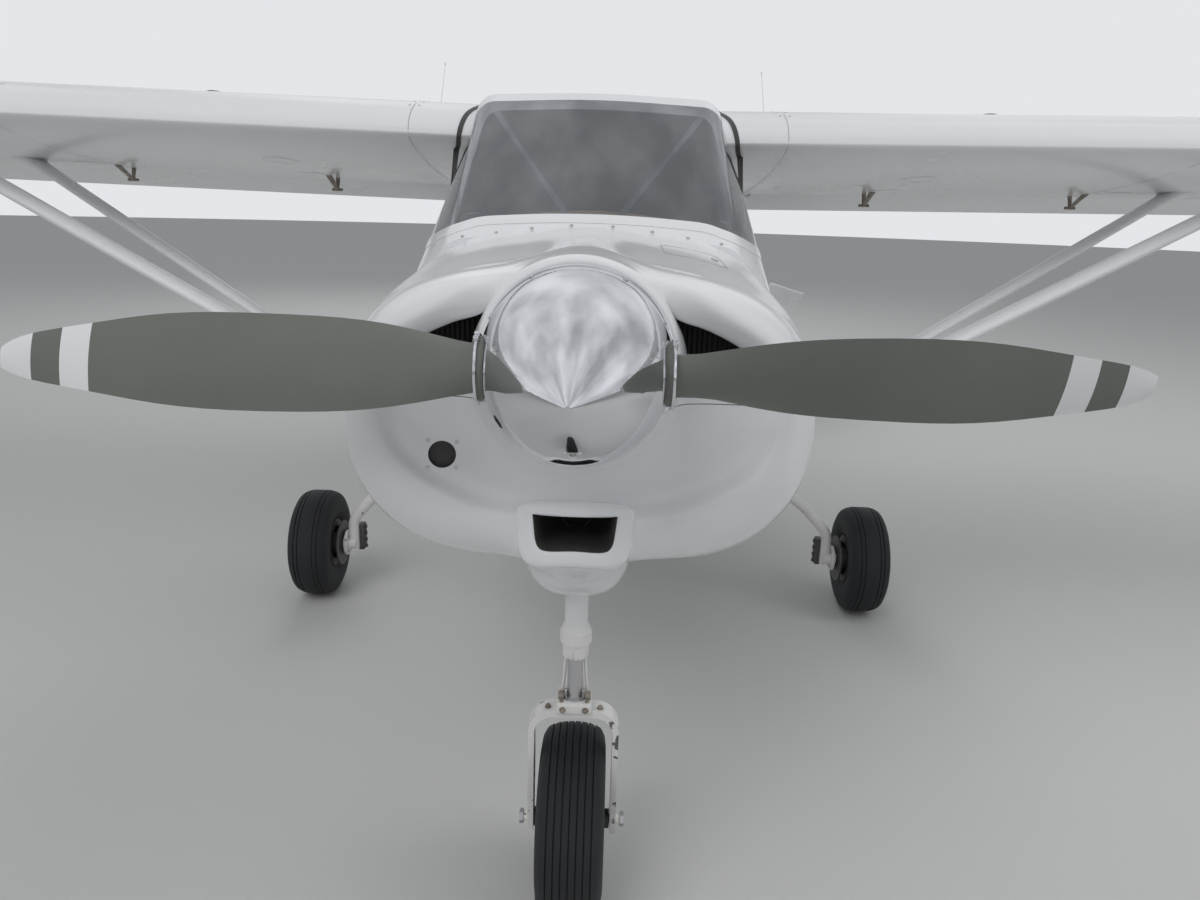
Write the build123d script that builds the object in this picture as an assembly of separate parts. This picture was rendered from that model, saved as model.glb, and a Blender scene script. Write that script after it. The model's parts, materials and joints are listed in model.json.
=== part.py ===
from build123d import *
import math
import os

# A strut-braced high-wing bush plane that parks on three wheels.
# Millimetres. X is the span (the aircraft's left is +X), Y runs from nose to tail,
# Z is up, and the ground is Z = 0. The origin is on the ground under the middle of the box.

os.makedirs("parts", exist_ok=True)

# Overall
half_span = 5300.0
half_length = 3550.0
move_gap = 6.0
hinge_gap = 7.0
shaft_gap = 0.05
# What a cylinder or a box is measured from: its foot, or the middle of one side at its foot
FOOT = (Align.CENTER, Align.CENTER, Align.MIN)
SIDE = (Align.MIN, Align.CENTER, Align.MIN)

# Body: stations along the length
crease_y = -3120.0
firewall_y = -2270.0
roof_y = -1670.0
bulkhead_y = -350.0
cone_end_y = 3150.0
cabin_wall = 30.0
cowl_wall = 6.0
cone_wall = 3.5
bulkhead_thick = 15.0
glass_wall = 5.0
firewall_thick = 4.0

# Sections of the body, each half given by six corners (half-width, height) from the belly up
# y: belly corner, lower side, belt, eave, roof edge, roof middle
COWL = [
    (crease_y, (130, 1083), (262, 1135), (350, 1262), (345, 1400), (235, 1490), (0, 1500)),
    (crease_y + 35, (190, 1010), (350, 1085), (415, 1230), (408, 1410), (262, 1515), (0, 1530)),
    (crease_y + 150, (250, 948), (425, 1040), (466, 1200), (455, 1380), (320, 1510), (0, 1556)),
    (crease_y + 330, (275, 903), (465, 1005), (500, 1190), (487, 1375), (345, 1515), (0, 1574)),
    (crease_y + 590, (304, 834), (480, 944), (518, 1170), (500, 1378), (363, 1530), (0, 1587)),
    (firewall_y, (330, 760), (490, 880), (530, 1150), (510, 1380), (380, 1545), (0, 1600)),
]
CABIN = [
    (firewall_y, (330, 760), (490, 880), (530, 1150), (510, 1380), (380, 1545), (0, 1600)),
    (roof_y, (360, 690), (540, 800), (570, 1150), (487, 1660), (372, 1975), (0, 1990)),
    (bulkhead_y, (340, 710), (505, 810), (540, 1150), (487, 1660), (372, 1975), (0, 1985)),
]
TAIL = [
    (bulkhead_y, (340, 710), (505, 810), (540, 1150), (487, 1660), (372, 1975), (0, 1985)),
    (bulkhead_y + 200, (332, 716), (495, 812), (530, 1146), (478, 1648), (362, 1958), (0, 1970)),
    (900, (235, 785), (360, 860), (390, 1090), (335, 1440), (235, 1640), (0, 1665)),
    (2050, (130, 825), (205, 880), (225, 1040), (190, 1255), (125, 1375), (0, 1390)),
    (cone_end_y, (35, 838), (66, 863), (74, 955), (64, 1060), (40, 1115), (0, 1126)),
]
# Share of the shorter side that each corner's round takes, from the belly up
SOFT = (0.45, 0.45, 0.45, 0.45, 0.45, 0.45)
CRISP = (0.45, 0.45, 0.40, 0.18, 0.14, 0.40)


def outline(corners, share, inset=0.0):
    """Close a half list of (half-width, height) corners into a ring of (x, z) and round it."""
    ring = list(corners) + [(-w, z) for w, z in reversed(corners) if w > 0]
    if inset:
        ring = shrink(ring, inset)
    shares = list(share) + [s for s, (w, z) in zip(reversed(share), reversed(corners)) if w > 0]
    return ring, shares


def shrink(ring, inset):
    """Move every side of an anticlockwise ring inwards by inset."""
    count = len(ring)
    sides = []
    for i in range(count):
        (ax, az), (bx, bz) = ring[i], ring[(i + 1) % count]
        run = math.hypot(bx - ax, bz - az)
        nx, nz = -(bz - az) / run, (bx - ax) / run
        sides.append(((ax + nx * inset, az + nz * inset), ((bx - ax) / run, (bz - az) / run)))
    moved = []
    for i in range(count):
        (px, pz), (ux, uz) = sides[i - 1]
        (qx, qz), (vx, vz) = sides[i]
        cross = ux * vz - uz * vx
        if abs(cross) < 1e-9:
            moved.append((qx, qz))
            continue
        t = ((qx - px) * vz - (qz - pz) * vx) / cross
        moved.append((px + ux * t, pz + uz * t))
    return moved


def rounded_wire(ring, shares, y):
    """A closed wire at station y with an arc at each corner."""
    count = len(ring)
    radii = []
    for i in range(count):
        a, b, c = (Vector(*ring[i - 1]), Vector(*ring[i]), Vector(*ring[(i + 1) % count]))
        turn = math.radians((b - a).get_angle(c - b))
        reach = shares[i] * min((b - a).length, (c - b).length)
        radii.append(reach / math.tan(turn / 2))
    points = [(x, y, z) for x, z in ring]
    return FilletPolyline(*points, radius=radii, close=True).wire()


def body(table, share, inset=0.0, ruled=False):
    """Loft the body through a table of sections."""
    wires = []
    for y, *corners in table:
        ring, shares = outline(corners, share, inset)
        wires.append(rounded_wire(ring, shares, y))
    return Solid.make_loft(wires, ruled)


def block(x0, x1, y0, y1, z0, z1):
    return Pos((x0 + x1) / 2, (y0 + y1) / 2, (z0 + z1) / 2) * Box(x1 - x0, y1 - y0, z1 - z0)


def band(y0, y1, z0, z1):
    """A block wider than the body."""
    return block(-700, 700, y0, y1, z0, z1)


def rod(start, end, radius):
    """A round bar between two points."""
    a, b = Vector(*start), Vector(*end)
    return Plane(origin=a, z_dir=b - a) * Cylinder(radius, (b - a).length, align=FOOT)


def side_panel(points, radius, x0, x1):
    """A prism seen from the side: (y, z) points with rounded corners, from x0 to x1."""
    path = FilletPolyline(*[(x0, y, z) for y, z in points], radius=radius, close=True).wire()
    return extrude(Face(path), amount=x1 - x0, dir=(1, 0, 0))


def mirror_x(shape):
    return mirror(shape, about=Plane.YZ)


def save(name, *shapes):
    solids = [solid for shape in shapes for solid in shape.solids()]
    export_step(Compound(children=solids) if len(solids) > 1 else solids[0], f"parts/{name}.step")


# Aerofoil: a quarter-ellipse nose above and below, and arcs to a blunt trailing edge
skin_nose_share = 3.0
skin_edge_share = 10.0


def aerofoil(plane, chord, crest, above, below, edge, wall=0.0):
    """A wing section from its nose aft, or with a wall the hollow inside it."""
    lead = skin_nose_share * wall
    run = chord - lead - skin_edge_share * wall
    above, below = above - wall, below - wall
    edge = 1.0 if wall else edge
    middle = (lead + crest * run, 0)
    back = lead + run
    nose_top = EllipticalCenterArc(middle, crest * run, above, 90, arc_size=90)
    nose_low = EllipticalCenterArc(middle, crest * run, below, 180, arc_size=90)
    back_top = TangentArc((middle[0], above), (back, edge / 2), tangent=(1, 0))
    back_low = TangentArc((middle[0], -below), (back, -edge / 2), tangent=(1, 0))
    close = Line((back, edge / 2), (back, -edge / 2))
    return plane * make_face([nose_top, nose_low, back_low, close, back_top])


# Wing
wing_chord = 1340.0
wing_nose_y = -1725.0
wing_nose_z = 1850.0
wing_slope = 6.5
wing_dihedral = 1.0
wing_root_x = 300.0
wing_above = 160.0
wing_below = 48.0
wing_crest = 0.32
wing_edge = 8.0
flap_hinge = 0.76
flap_in_x = 640.0
flap_out_x = 2760.0
aileron_out_x = 4980.0
tip_cap_x = 5060.0
flap_roll = 60.0
flap_hinge_up = 32.0
flap_droop = 10.0
rear_bay = (0.34, 0.655)
rear_bay_x = 560.0
skin_wall = 6.0
rib_wall = 14.0
hollow_back = 40.0


def wing_plane(x):
    z = wing_nose_z + (x - CABIN[1][4][0]) * math.tan(math.radians(wing_dihedral))
    a = math.radians(wing_slope)
    return Plane(origin=(x, wing_nose_y, z), x_dir=(0, math.cos(a), -math.sin(a)), z_dir=(1, 0, 0))


def wing_slab(x0, x1, wall=0.0):
    depth = (wing_above, wing_below, wing_edge, wall)
    return loft([aerofoil(wing_plane(x), wing_chord, wing_crest, *depth) for x in (x0, x1)], ruled=True)


def hinge_point(x):
    """The place of the flap and aileron hinge at span station x, half way through the section."""
    plane = wing_plane(x)
    return plane.from_local_coords(Vector(flap_hinge * wing_chord, flap_hinge_up, 0))


def hinge_rod(x0, x1, radius):
    a, b = hinge_point(x0), hinge_point(x1)
    way = (b - a).normalized()
    return Plane(origin=a, z_dir=way) * Cylinder(radius, (b - a).length, align=FOOT)


def behind_hinge(x0, x1, back=0.0):
    """A block that holds everything behind the hinge line."""
    span = hinge_point(x1) - hinge_point(x0)
    base = Plane(origin=hinge_point(x0), x_dir=wing_plane(x0).x_dir, z_dir=span.normalized())
    return base * Pos(back, 0, 0) * Box(900, 900, span.length, align=SIDE)


def surface(slab, x0, x1):
    """A flap or aileron: the section behind the hinge line, hollow, and its round nose."""
    shape = (slab & behind_hinge(x0, x1)) + (hinge_rod(x0, x1, flap_roll) & slab_box(x0, x1))
    r0, r1 = x0 + rib_wall, x1 - rib_wall
    return shape - (wing_slab(r0, r1, skin_wall) & behind_hinge(r0, r1, hollow_back))


def slab_box(x0, x1):
    return block(x0, x1, -3000, 3000, 0, 4000)


# Body: cabin shell, windscreen, doors and windows
# The windscreen's base seen from the front: (half-width, height) in the middle, at the bend
# and at the corner
screen_base = ((0.0, 1607.0), (300.0, 1592.0), (500.0, 1512.0))
screen_back_y = -1705.0
door_front_y = -1630.0
door_back_y = -790.0
door_base_z = 850.0
door_top_z = 1600.0
door_round = 90.0
window_frame = 70.0
window_base_z = 1235.0
window_round = 70.0
quarter_front_y = -700.0
quarter_back_y = -440.0
# Heights of the rear window's base and top, each at its front and its back
quarter_base = (1255.0, 1295.0)
quarter_top = (1580.0, 1550.0)
hinge_low = (582.0, 1000.0)
hinge_high = (519.0, 1600.0)
hinge_heights = (1010.0, 1430.0)
knuckle_radius = 7.0
knuckle_half = 15.0
hinge_pin_radius = 4.0
leaf_reach = 30.0


def from_front(edges, y0, y1):
    """A prism between two stations, from edges drawn as the front view shows them."""
    plane = Plane(origin=(0, y0, 0), x_dir=(1, 0, 0), z_dir=(0, -1, 0))
    return extrude(plane * make_face(edges), amount=y1 - y0, dir=(0, 1, 0))


def screen_region():
    """What the windscreen takes of the front of the cabin."""
    (_, top_z), (bend_x, bend_z), (corner_x, corner_z) = screen_base
    half, high = 620.0, 2200.0
    middle = ThreePointArc((-bend_x, bend_z), (0, top_z), (bend_x, bend_z))
    right = TangentArc((bend_x, bend_z), (corner_x, corner_z), tangent=middle % 1)
    left = TangentArc((-bend_x, bend_z), (-corner_x, corner_z), tangent=(middle % 0) * -1)
    rest = Polyline((corner_x, corner_z), (half, corner_z), (half, high),
                    (-half, high), (-half, corner_z), (-corner_x, corner_z))
    return from_front([middle, right, rest, left], firewall_y - 100, screen_back_y)


body_front = body(CABIN[:2], CRISP, ruled=True)
body_mid = body(CABIN[1:], CRISP, ruled=True)
body_back = body(TAIL, CRISP)
front_inside = body(CABIN[:2], CRISP, cabin_wall, ruled=True)
mid_inside = body(CABIN[1:], CRISP, cabin_wall, ruled=True)
outside = body_front + body_mid
inside = front_inside + mid_inside
mid_wall = body_mid - mid_inside
shell = (body_front - front_inside) + mid_wall
screen_space = screen_region()
windscreen = (body_front - body(CABIN[:2], CRISP, glass_wall, ruled=True)) & screen_space


def side_frame(y0, y1, z0, z1):
    """The four corners of a panel seen from the side."""
    return [(y0, z0), (y1, z0), (y1, z1), (y0, z1)]


def door_frame(gap):
    """The door's corners, or with a gap its opening's."""
    return side_frame(door_front_y - gap, door_back_y + gap, door_base_z - gap, door_top_z + gap)


window_side = side_frame(door_front_y + window_frame, door_back_y - window_frame,
                         window_base_z, door_top_z - window_frame / 2)
quarter_side = [(quarter_front_y, quarter_base[0]), (quarter_back_y, quarter_base[1]),
                (quarter_back_y, quarter_top[1]), (quarter_front_y, quarter_top[0])]
inner_x, outer_x = 300.0, 700.0
mid_glass = body_mid - body(CABIN[1:], CRISP, glass_wall, ruled=True)
door_hole = side_panel(door_frame(move_gap), door_round + move_gap, inner_x, outer_x)
door_panel = side_panel(door_frame(0), door_round, inner_x, outer_x)
window_panel = side_panel(window_side, window_round, inner_x, outer_x)
quarter_panel = side_panel(quarter_side, window_round, inner_x, outer_x)
door = (mid_wall & door_panel) - window_panel
door_glass = mid_glass & window_panel
quarter_glass = mid_glass & quarter_panel
shell = shell - screen_space - door_hole - mirror_x(door_hole) - quarter_panel - mirror_x(quarter_panel)
door_hinge_y = door_front_y - move_gap
hinge_way = Vector(hinge_high[0] - hinge_low[0], 0, hinge_high[1] - hinge_low[1]).normalized()


def hinge_x(z):
    (low_x, low_z), (high_x, high_z) = hinge_low, hinge_high
    return low_x + (z - low_z) * (high_x - low_x) / (high_z - low_z)


def knuckle(z, offset, half, radius):
    centre = Vector(hinge_x(z), door_hinge_y, z) + hinge_way * offset
    return Plane(origin=centre, z_dir=hinge_way) * Cylinder(radius, 2 * half)


def leaf(z, offset, half, y0, y1):
    """The flat of a hinge, from the skin out to the knuckle."""
    x = hinge_x(z)
    return block(x - 40, x, y0, y1, z + offset - half, z + offset + half)


for z in hinge_heights:
    mid = knuckle_half + 1 + knuckle_half / 2
    fixed = knuckle(z, 0, mid + knuckle_half / 2, hinge_pin_radius)
    for way in (-1, 1):
        fixed = fixed + knuckle(z, way * mid, knuckle_half / 2, knuckle_radius)
        fixed = fixed + leaf(z, way * mid, knuckle_half / 2, door_hinge_y - leaf_reach, door_hinge_y - 2)
    shell = shell + fixed + mirror_x(fixed)
    moving = knuckle(z, 0, knuckle_half, knuckle_radius)
    moving = moving + leaf(z, 0, knuckle_half - 1, door_hinge_y + 2, door_hinge_y + leaf_reach)
    door = door + (moving - knuckle(z, 0, 2 * mid, hinge_pin_radius + shaft_gap))
save("cabin_shell", shell)
save("windscreen", windscreen)
for side, place in (("left", lambda s: s), ("right", mirror_x)):
    save(f"door_{side}", place(door))
    save(f"door_window_{side}", place(door_glass))
    save(f"quarter_window_{side}", place(quarter_glass))

# Tail cone, firewall and floor
floor_z = 800.0
floor_thick = 20.0
cone_hollow = body(TAIL, CRISP, cone_wall)
cone_hollow = cone_hollow & band(bulkhead_y + bulkhead_thick, cone_end_y - bulkhead_thick, 0, 2500)
save("tail_cone", body_back - cone_hollow)
save("firewall", front_inside & band(firewall_y, firewall_y + firewall_thick, 0, 2500))
floor_space = band(firewall_y + firewall_thick, bulkhead_y, floor_z - floor_thick, floor_z)
save("cabin_floor", inside & floor_space)

# Cowl: two halves that meet on the propeller line, a dished front face, two inlets and the boot
split_z = 1300.0
prop_z = 1385.0
dish_depth = 30.0
dish_inset = 30.0
boss_radius = 172.0
boss_root_radius = 235.0
boss_front_y = -3185.0
shaft_hole_radius = 120.0
inlet = ((150.0, 1335.0), (290.0, 1335.0), (262.0, 1432.0), (150.0, 1468.0))
inlet_round = 22.0
cowl_outside = body(COWL, SOFT)
face_y = crease_y + dish_depth
engine_bay = body(COWL, SOFT, cowl_wall) - band(crease_y - 50, face_y + cowl_wall, 500, 2000)
dish_ring, dish_shares = outline(COWL[0][1:], SOFT, dish_inset)
dish_floor, _ = outline(COWL[0][1:], SOFT, dish_inset + dish_depth * 0.6)
dish_wires = [rounded_wire(dish_ring, dish_shares, crease_y), rounded_wire(dish_floor, dish_shares, face_y)]
dish = Solid.make_loft(dish_wires, True)
boss = Cone(boss_root_radius, boss_radius, face_y - boss_front_y, align=FOOT)
boss = Plane(origin=(0, face_y, prop_z), z_dir=(0, -1, 0)) * boss
shaft_hole = rod((0, boss_front_y - 10, prop_z), (0, -2900, prop_z), shaft_hole_radius)
cowl = cowl_outside - dish + (boss & block(-400, 400, -3400, -2900, 1085, 1520)) - engine_bay - shaft_hole


def inlet_cut(side):
    points = [(side * x, -3300, z) for x, z in inlet]
    edge = FilletPolyline(*points, radius=inlet_round, close=True).wire()
    return extrude(Face(edge), amount=400, dir=(0, 1, 0))


for side in (1, -1):
    cowl = cowl - inlet_cut(side)

above_split = band(-3400, -2000, split_z, 2500)
boot_y = -2860.0
boot_profile = [(0, 1000), (116, 1000), (112, 905), (82, 850), (36, 828), (0, 828)]


def turned(points, axis_x, axis_y):
    """Revolve (radius, height) points about an upright line."""
    plane = Plane(origin=(axis_x, axis_y, 0), x_dir=(1, 0, 0), z_dir=(0, -1, 0))
    face = plane * make_face(Polyline(*points, close=True))
    return revolve(face, Axis((axis_x, axis_y, 0), (0, 0, 1)))


# Nose leg sizes, which the boot needs too
nose_y = boot_y
nose_tube_radius = 26.5
nose_tube_base_z = 656.0
nose_tube_top_z = 1040.0
piston_radius = 16.5
nose_fit = 0.4

# Scoop below the spinner
scoop_front_y = -3135.0
scoop_back_y = -2940.0
scoop_top_z = 1105.0
scoop_base_z = 978.0
scoop_half_top = 106.0
scoop_half_base = 76.0
scoop_round = 26.0
mouth_half = 74.0
mouth_top_z = 1086.0
mouth_base_z = 1020.0
mouth_round = 18.0
mouth_depth = 150.0


def front_panel(points, radius, y0, y1):
    """A prism seen from the front: (x, z) points with rounded corners, from y0 to y1."""
    path = FilletPolyline(*[(x, y0, z) for x, z in points], radius=radius, close=True).wire()
    return extrude(Face(path), amount=y1 - y0, dir=(0, 1, 0))


scoop_frame = [(-scoop_half_base, scoop_base_z), (scoop_half_base, scoop_base_z),
               (scoop_half_top, scoop_top_z), (-scoop_half_top, scoop_top_z)]
scoop = front_panel(scoop_frame, scoop_round, scoop_front_y, scoop_back_y)
mouth_frame = [(-mouth_half, mouth_base_z), (mouth_half, mouth_base_z),
               (mouth_half, mouth_top_z), (-mouth_half, mouth_top_z)]
mouth = front_panel(mouth_frame, mouth_round, scoop_front_y - 10, scoop_front_y + mouth_depth)
boot = turned(boot_profile, 0, boot_y)
cowl_lower = cowl - above_split
cowl_lower = cowl_lower + (scoop - engine_bay) + (boot - engine_bay) - mouth
cowl_lower = cowl_lower - rod((0, nose_y, 700), (0, nose_y, 1100), nose_tube_radius + nose_fit)

# Engine, its mount and the exhaust stub
exhaust_x = 140.0
exhaust_y = -2740.0
exhaust_end_z = 868.0
exhaust_radius = 22.0
exhaust_bore = 18.0
exhaust_gap = 5.0
engine_half = 345.0
engine_front_y = -3010.0
engine_back_y = -2330.0
engine_base_z = 1090.0
engine_top_z = 1438.0
shaft_radius = 40.0
shaft_back_y = -2900.0
mount_radius = 11.0
mount_x = 260.0
mount_heights = (1230.0, 1415.0)
engine = block(-engine_half, engine_half, engine_front_y, engine_back_y, engine_base_z, engine_top_z)
engine = engine - rod((0, engine_front_y - 1, prop_z), (0, shaft_back_y, prop_z), shaft_radius + shaft_gap)
save("engine_block", engine)
stub = rod((exhaust_x, exhaust_y, engine_base_z), (exhaust_x, exhaust_y, exhaust_end_z), exhaust_radius)
stub = stub - rod((exhaust_x, exhaust_y, 1000), (exhaust_x, exhaust_y, exhaust_end_z - 1), exhaust_bore)
save("exhaust_stub", stub)
mount_bars = []
for x in (-mount_x, mount_x):
    for z in mount_heights:
        mount_bars.append(rod((x, engine_back_y, z), (x, firewall_y, z), mount_radius))
save("engine_mount", *mount_bars)
stub_hole = rod((exhaust_x, exhaust_y, 700), (exhaust_x, exhaust_y, 1080), exhaust_radius + exhaust_gap)
save("cowl_upper", cowl & above_split)
save("cowl_lower", cowl_lower - stub_hole)

# Propeller: shaft and hub, two blades and the spinner
prop_y = -3270.0
spinner_base_y = -3205.0
spinner_radius = 165.0
spinner_wall = 4.0
tip_radius = 4.0
plate_thick = 6.0
hub_radius = 52.0
hub_half = 95.0
blade_root_radius = 38.0
blade_hole_radius = 50.0
# radius, chord, thickness, angle from the plane of rotation, sweep
BLADE = [
    (95, 80, 76, 40, 0),
    (165, 92, 62, 40, 0),
    (285, 142, 34, 36, 0),
    (450, 165, 21, 27, 0),
    (590, 162, 16, 22, 0),
    (720, 138, 12, 19, 0),
    (850, 93, 8, 16.5, 2),
    (915, 62, 6, 15, 4),
    (942, 34, 4, 15, 6),
]


def blade_section(r, chord, thick, angle, sweep):
    a = math.radians(angle)
    plane = Plane(origin=(r, prop_y, prop_z + sweep), x_dir=(0, -math.sin(a), math.cos(a)), z_dir=(1, 0, 0))
    share = 0.5 + 0.2 * (1 - min(1, thick / chord))
    front = ThreePointArc((chord / 2, 0), (0, thick * share), (-chord / 2, 0))
    back = ThreePointArc((-chord / 2, 0), (0, -thick * (1 - share)), (chord / 2, 0))
    return (plane * make_face([front, back])).wire()


blade = Solid.make_loft([blade_section(*row) for row in BLADE], False)
prop_axis = Axis((0, 0, prop_z), (0, 1, 0))
save("propeller_blades", blade, blade.rotate(prop_axis, 180))
hub = rod((-hub_half, prop_y, prop_z), (hub_half, prop_y, prop_z), hub_radius)
hub = hub + rod((0, prop_y, prop_z), (0, shaft_back_y - 2, prop_z), shaft_radius)
hub = hub + rod((0, spinner_base_y, prop_z), (0, spinner_base_y + plate_thick, prop_z), spinner_radius)
save("propeller_hub", hub)


def spinner_shell():
    """A pointed shell of one arc outside and one inside, turned about the propeller line."""
    plane = Plane(origin=(0, 0, prop_z), x_dir=(1, 0, 0), z_dir=(0, 0, 1))
    inner_radius = spinner_radius - spinner_wall
    inner_tip_y = 3 * spinner_wall - half_length
    outer = TangentArc((spinner_radius, spinner_base_y), (tip_radius, -half_length), tangent=(0, -1))
    inner = TangentArc((inner_radius, spinner_base_y), (tip_radius, inner_tip_y), tangent=(0, -1))
    tip = Polyline((tip_radius, -half_length), (0, -half_length),
                   (0, inner_tip_y), (tip_radius, inner_tip_y))
    base = Line((inner_radius, spinner_base_y), (spinner_radius, spinner_base_y))
    return revolve(plane * make_face([outer, tip, inner, base]), prop_axis)


spinner = spinner_shell()
for way in (1, -1):
    spinner = spinner - rod((way * 60, prop_y, prop_z), (way * 300, prop_y, prop_z), blade_hole_radius)
save("spinner", spinner)

# Wing panels, flaps, ailerons and tips
pin_radius = 5.0
eye_radius = 11.0
plate_half = 3.0
slot_side = 5.0
cove_reach = 40.0


def hang(fixed, moving, centre, way, ahead, nose, reach):
    """Hinge a moving surface on a fixed one: an eye plate on one, a slot and a pin in the other."""
    plane = Plane(origin=centre, x_dir=ahead, z_dir=way)
    arm = plane * Pos(reach / 2, 0, 0) * Box(reach, 2 * eye_radius, 2 * plate_half)
    plate = arm + plane * Cylinder(eye_radius, 2 * plate_half)
    plate = plate - plane * Cylinder(pin_radius + shaft_gap, 4 * plate_half)
    slot_half = plate_half + slot_side
    ahead_half = plane * Pos(nose, 0, 0) * Box(2 * nose, 4 * nose, 4 * slot_half)
    half_disc = (plane * Cylinder(nose + 2, 2 * slot_half)) & ahead_half
    slot = half_disc + plane * Cylinder(eye_radius + slot_side, 2 * slot_half)
    pin = plane * Cylinder(pin_radius, 2 * slot_half + 16)
    return fixed + plate, (moving - slot) + pin


# Wing tip sections: station, chord share, thickness share, shift aft
TIP = [(tip_cap_x, 1.0, 1.0, 0.0), (tip_cap_x + 120, 0.94, 0.8, 25.0), (half_span, 0.70, 0.22, 150.0)]


def wing_bay(x0, x1):
    """The hollow behind the main spar."""
    way = wing_plane(x1).origin - wing_plane(x0).origin
    base = Plane(origin=wing_plane(x0).origin, x_dir=wing_plane(x0).x_dir, z_dir=way.normalized())
    start, end = (share * wing_chord for share in rear_bay)
    bay = base * Pos(start, 0, 0) * Box(end - start, 900, way.length, align=SIDE)
    return bay & wing_slab(x0, x1, skin_wall)


def wing_side():
    slab = wing_slab(wing_root_x, tip_cap_x)
    wing = slab - outside - wing_bay(rear_bay_x, tip_cap_x - rib_wall)
    parts = {}
    aileron_in_x = flap_out_x + hinge_gap
    for name, x0, x1 in (("flap", flap_in_x, flap_out_x), ("aileron", aileron_in_x, aileron_out_x)):
        cove = behind_hinge(x0 - hinge_gap, x1 + hinge_gap)
        cove = cove + hinge_rod(x0 - hinge_gap, x1 + hinge_gap, flap_roll + hinge_gap)
        wing = wing - cove
        moving = surface(slab, x0, x1)
        way = (hinge_point(x1) - hinge_point(x0)).normalized()
        ahead = wing_plane(0).x_dir * -1
        for share in (0.12, 0.88):
            centre = hinge_point(x0 + share * (x1 - x0))
            wing, moving = hang(wing, moving, centre, way, ahead, flap_roll, flap_roll + cove_reach)
        if name == "flap":
            moving = moving.rotate(Axis(hinge_point(x0), way), -flap_droop)
        parts[name] = moving
    parts["wing"] = wing
    tip = []
    for x, size, depth, shift in TIP:
        plane = wing_plane(x).offset(0).move(Location((0, shift, 0)))
        depths = (wing_above * depth, wing_below * depth, wing_edge * depth)
        tip.append(aerofoil(plane, wing_chord * size, wing_crest, *depths))
    parts["wing_tip"] = loft(tip, ruled=False)
    return parts


wing_parts = wing_side()
for name, shape in wing_parts.items():
    save(f"{name}_left", shape)
    save(f"{name}_right", mirror_x(shape))

# Wing struts, cut to the body and the wing
# lower end, upper end, chord, thickness
STRUTS = [
    ((520.0, -1790.0, 889.0), (2518.0, -1366.0, 1854.0), 96.0, 46.0),
    ((520.0, -1680.0, 855.0), (2399.0, -946.0, 1829.0), 80.0, 38.0),
]


def strut(low, high, chord, thick):
    a, b = Vector(*low), Vector(*high)
    way = (b - a).normalized()
    plane = Plane(origin=a, x_dir=Vector(0, 1, 0) - way * way.Y, z_dir=way)
    bar = extrude(plane * Ellipse(chord / 2, thick / 2), amount=(b - a).length)
    return bar - outside - wing_slab(wing_root_x, tip_cap_x)


struts = [strut(*row) for row in STRUTS]
save("wing_struts_left", *struts)
save("wing_struts_right", *[mirror_x(s) for s in struts])

# Wheels: an origin at the hub, the axle along X
axle_radius = 19.0
nose_axle_radius = 12.0
main_wheel_radius = 222.0
nose_wheel_radius = 222.0
main_half = 80.0
nose_half = 77.0
bead_radius = 80.0
bead_step = 18.0
hub_root_radius = 44.0
hub_end_radius = 40.0
flange_radius = 98.0
flange_thick = 6.0
disc_radius = 95.0
disc_thick = 6.0
disc_x = -97.0


def spun(points, y, z):
    """Revolve (x, radius) points about an axle along X."""
    plane = Plane(origin=(0, y, z), x_dir=(1, 0, 0), z_dir=(0, -1, 0))
    return revolve(plane * make_face(points), Axis((0, y, z), (1, 0, 0)))


def tyre(radius, half, y, z):
    bead = half - bead_step
    heel = flange_radius + 0.5
    bulge = (radius + flange_radius) / 2 - 6
    shoulder_x, shoulder = bead + 4, radius - 18
    wall = ThreePointArc((bead, heel), (half, bulge), (shoulder_x, shoulder))
    other = ThreePointArc((-shoulder_x, shoulder), (-half, bulge), (-bead, heel))
    crown = ThreePointArc((shoulder_x, shoulder), (0, radius), (-shoulder_x, shoulder))
    inner = Polyline((-bead, heel), (-bead, bead_radius), (bead, bead_radius), (bead, heel))
    return spun([wall, crown, other, inner], y, z)


def rim(half, hole, y, z, with_disc):
    bead = half - bead_step
    flange_x, hub_x = bead + flange_thick, bead + 4
    web_x, web_radius = 12, bead_radius - 22
    half_rim = [(bead, bead_radius), (bead, flange_radius), (flange_x, flange_radius),
                (flange_x, bead_radius - 10), (web_x, web_radius), (web_x, hub_root_radius),
                (hub_x, hub_end_radius), (hub_x, hole)]
    barrel = Polyline(*half_rim, *[(-x, r) for x, r in reversed(half_rim)], close=True)
    wheel = spun([barrel], y, z)
    if with_disc:
        x0, x1, x2 = disc_x - disc_thick / 2, disc_x + disc_thick / 2, -bead - 3
        disc = Polyline((x0, hole), (x0, disc_radius), (x1, disc_radius),
                        (x1, hub_root_radius), (x2, hub_root_radius), (x2, hole), close=True)
        wheel = wheel + spun([disc], y, z)
    return wheel


# Main legs: a bent tube, the axle with its plate, and the brake
track_half = 1150.0
main_y = -1120.0
leg_radius = 22.0
leg_x = 1005.0
leg_foot_z = 198.0
leg_route = [(430.0, 795.0), (905.0, 440.0), (leg_x, 330.0), (leg_x, leg_foot_z)]
leg_bends = (260.0, 90.0)
axle_plate_radius = 52.0
axle_plate_x = 1026.0
axle_plate_thick = 12.0
axle_end = 1238.0
# inner and outer side, front and back from the axle, half its height
caliper = (1038.0, 1075.0, 62.0, 106.0, 34.0)
caliper_slot = 5.0


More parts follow.
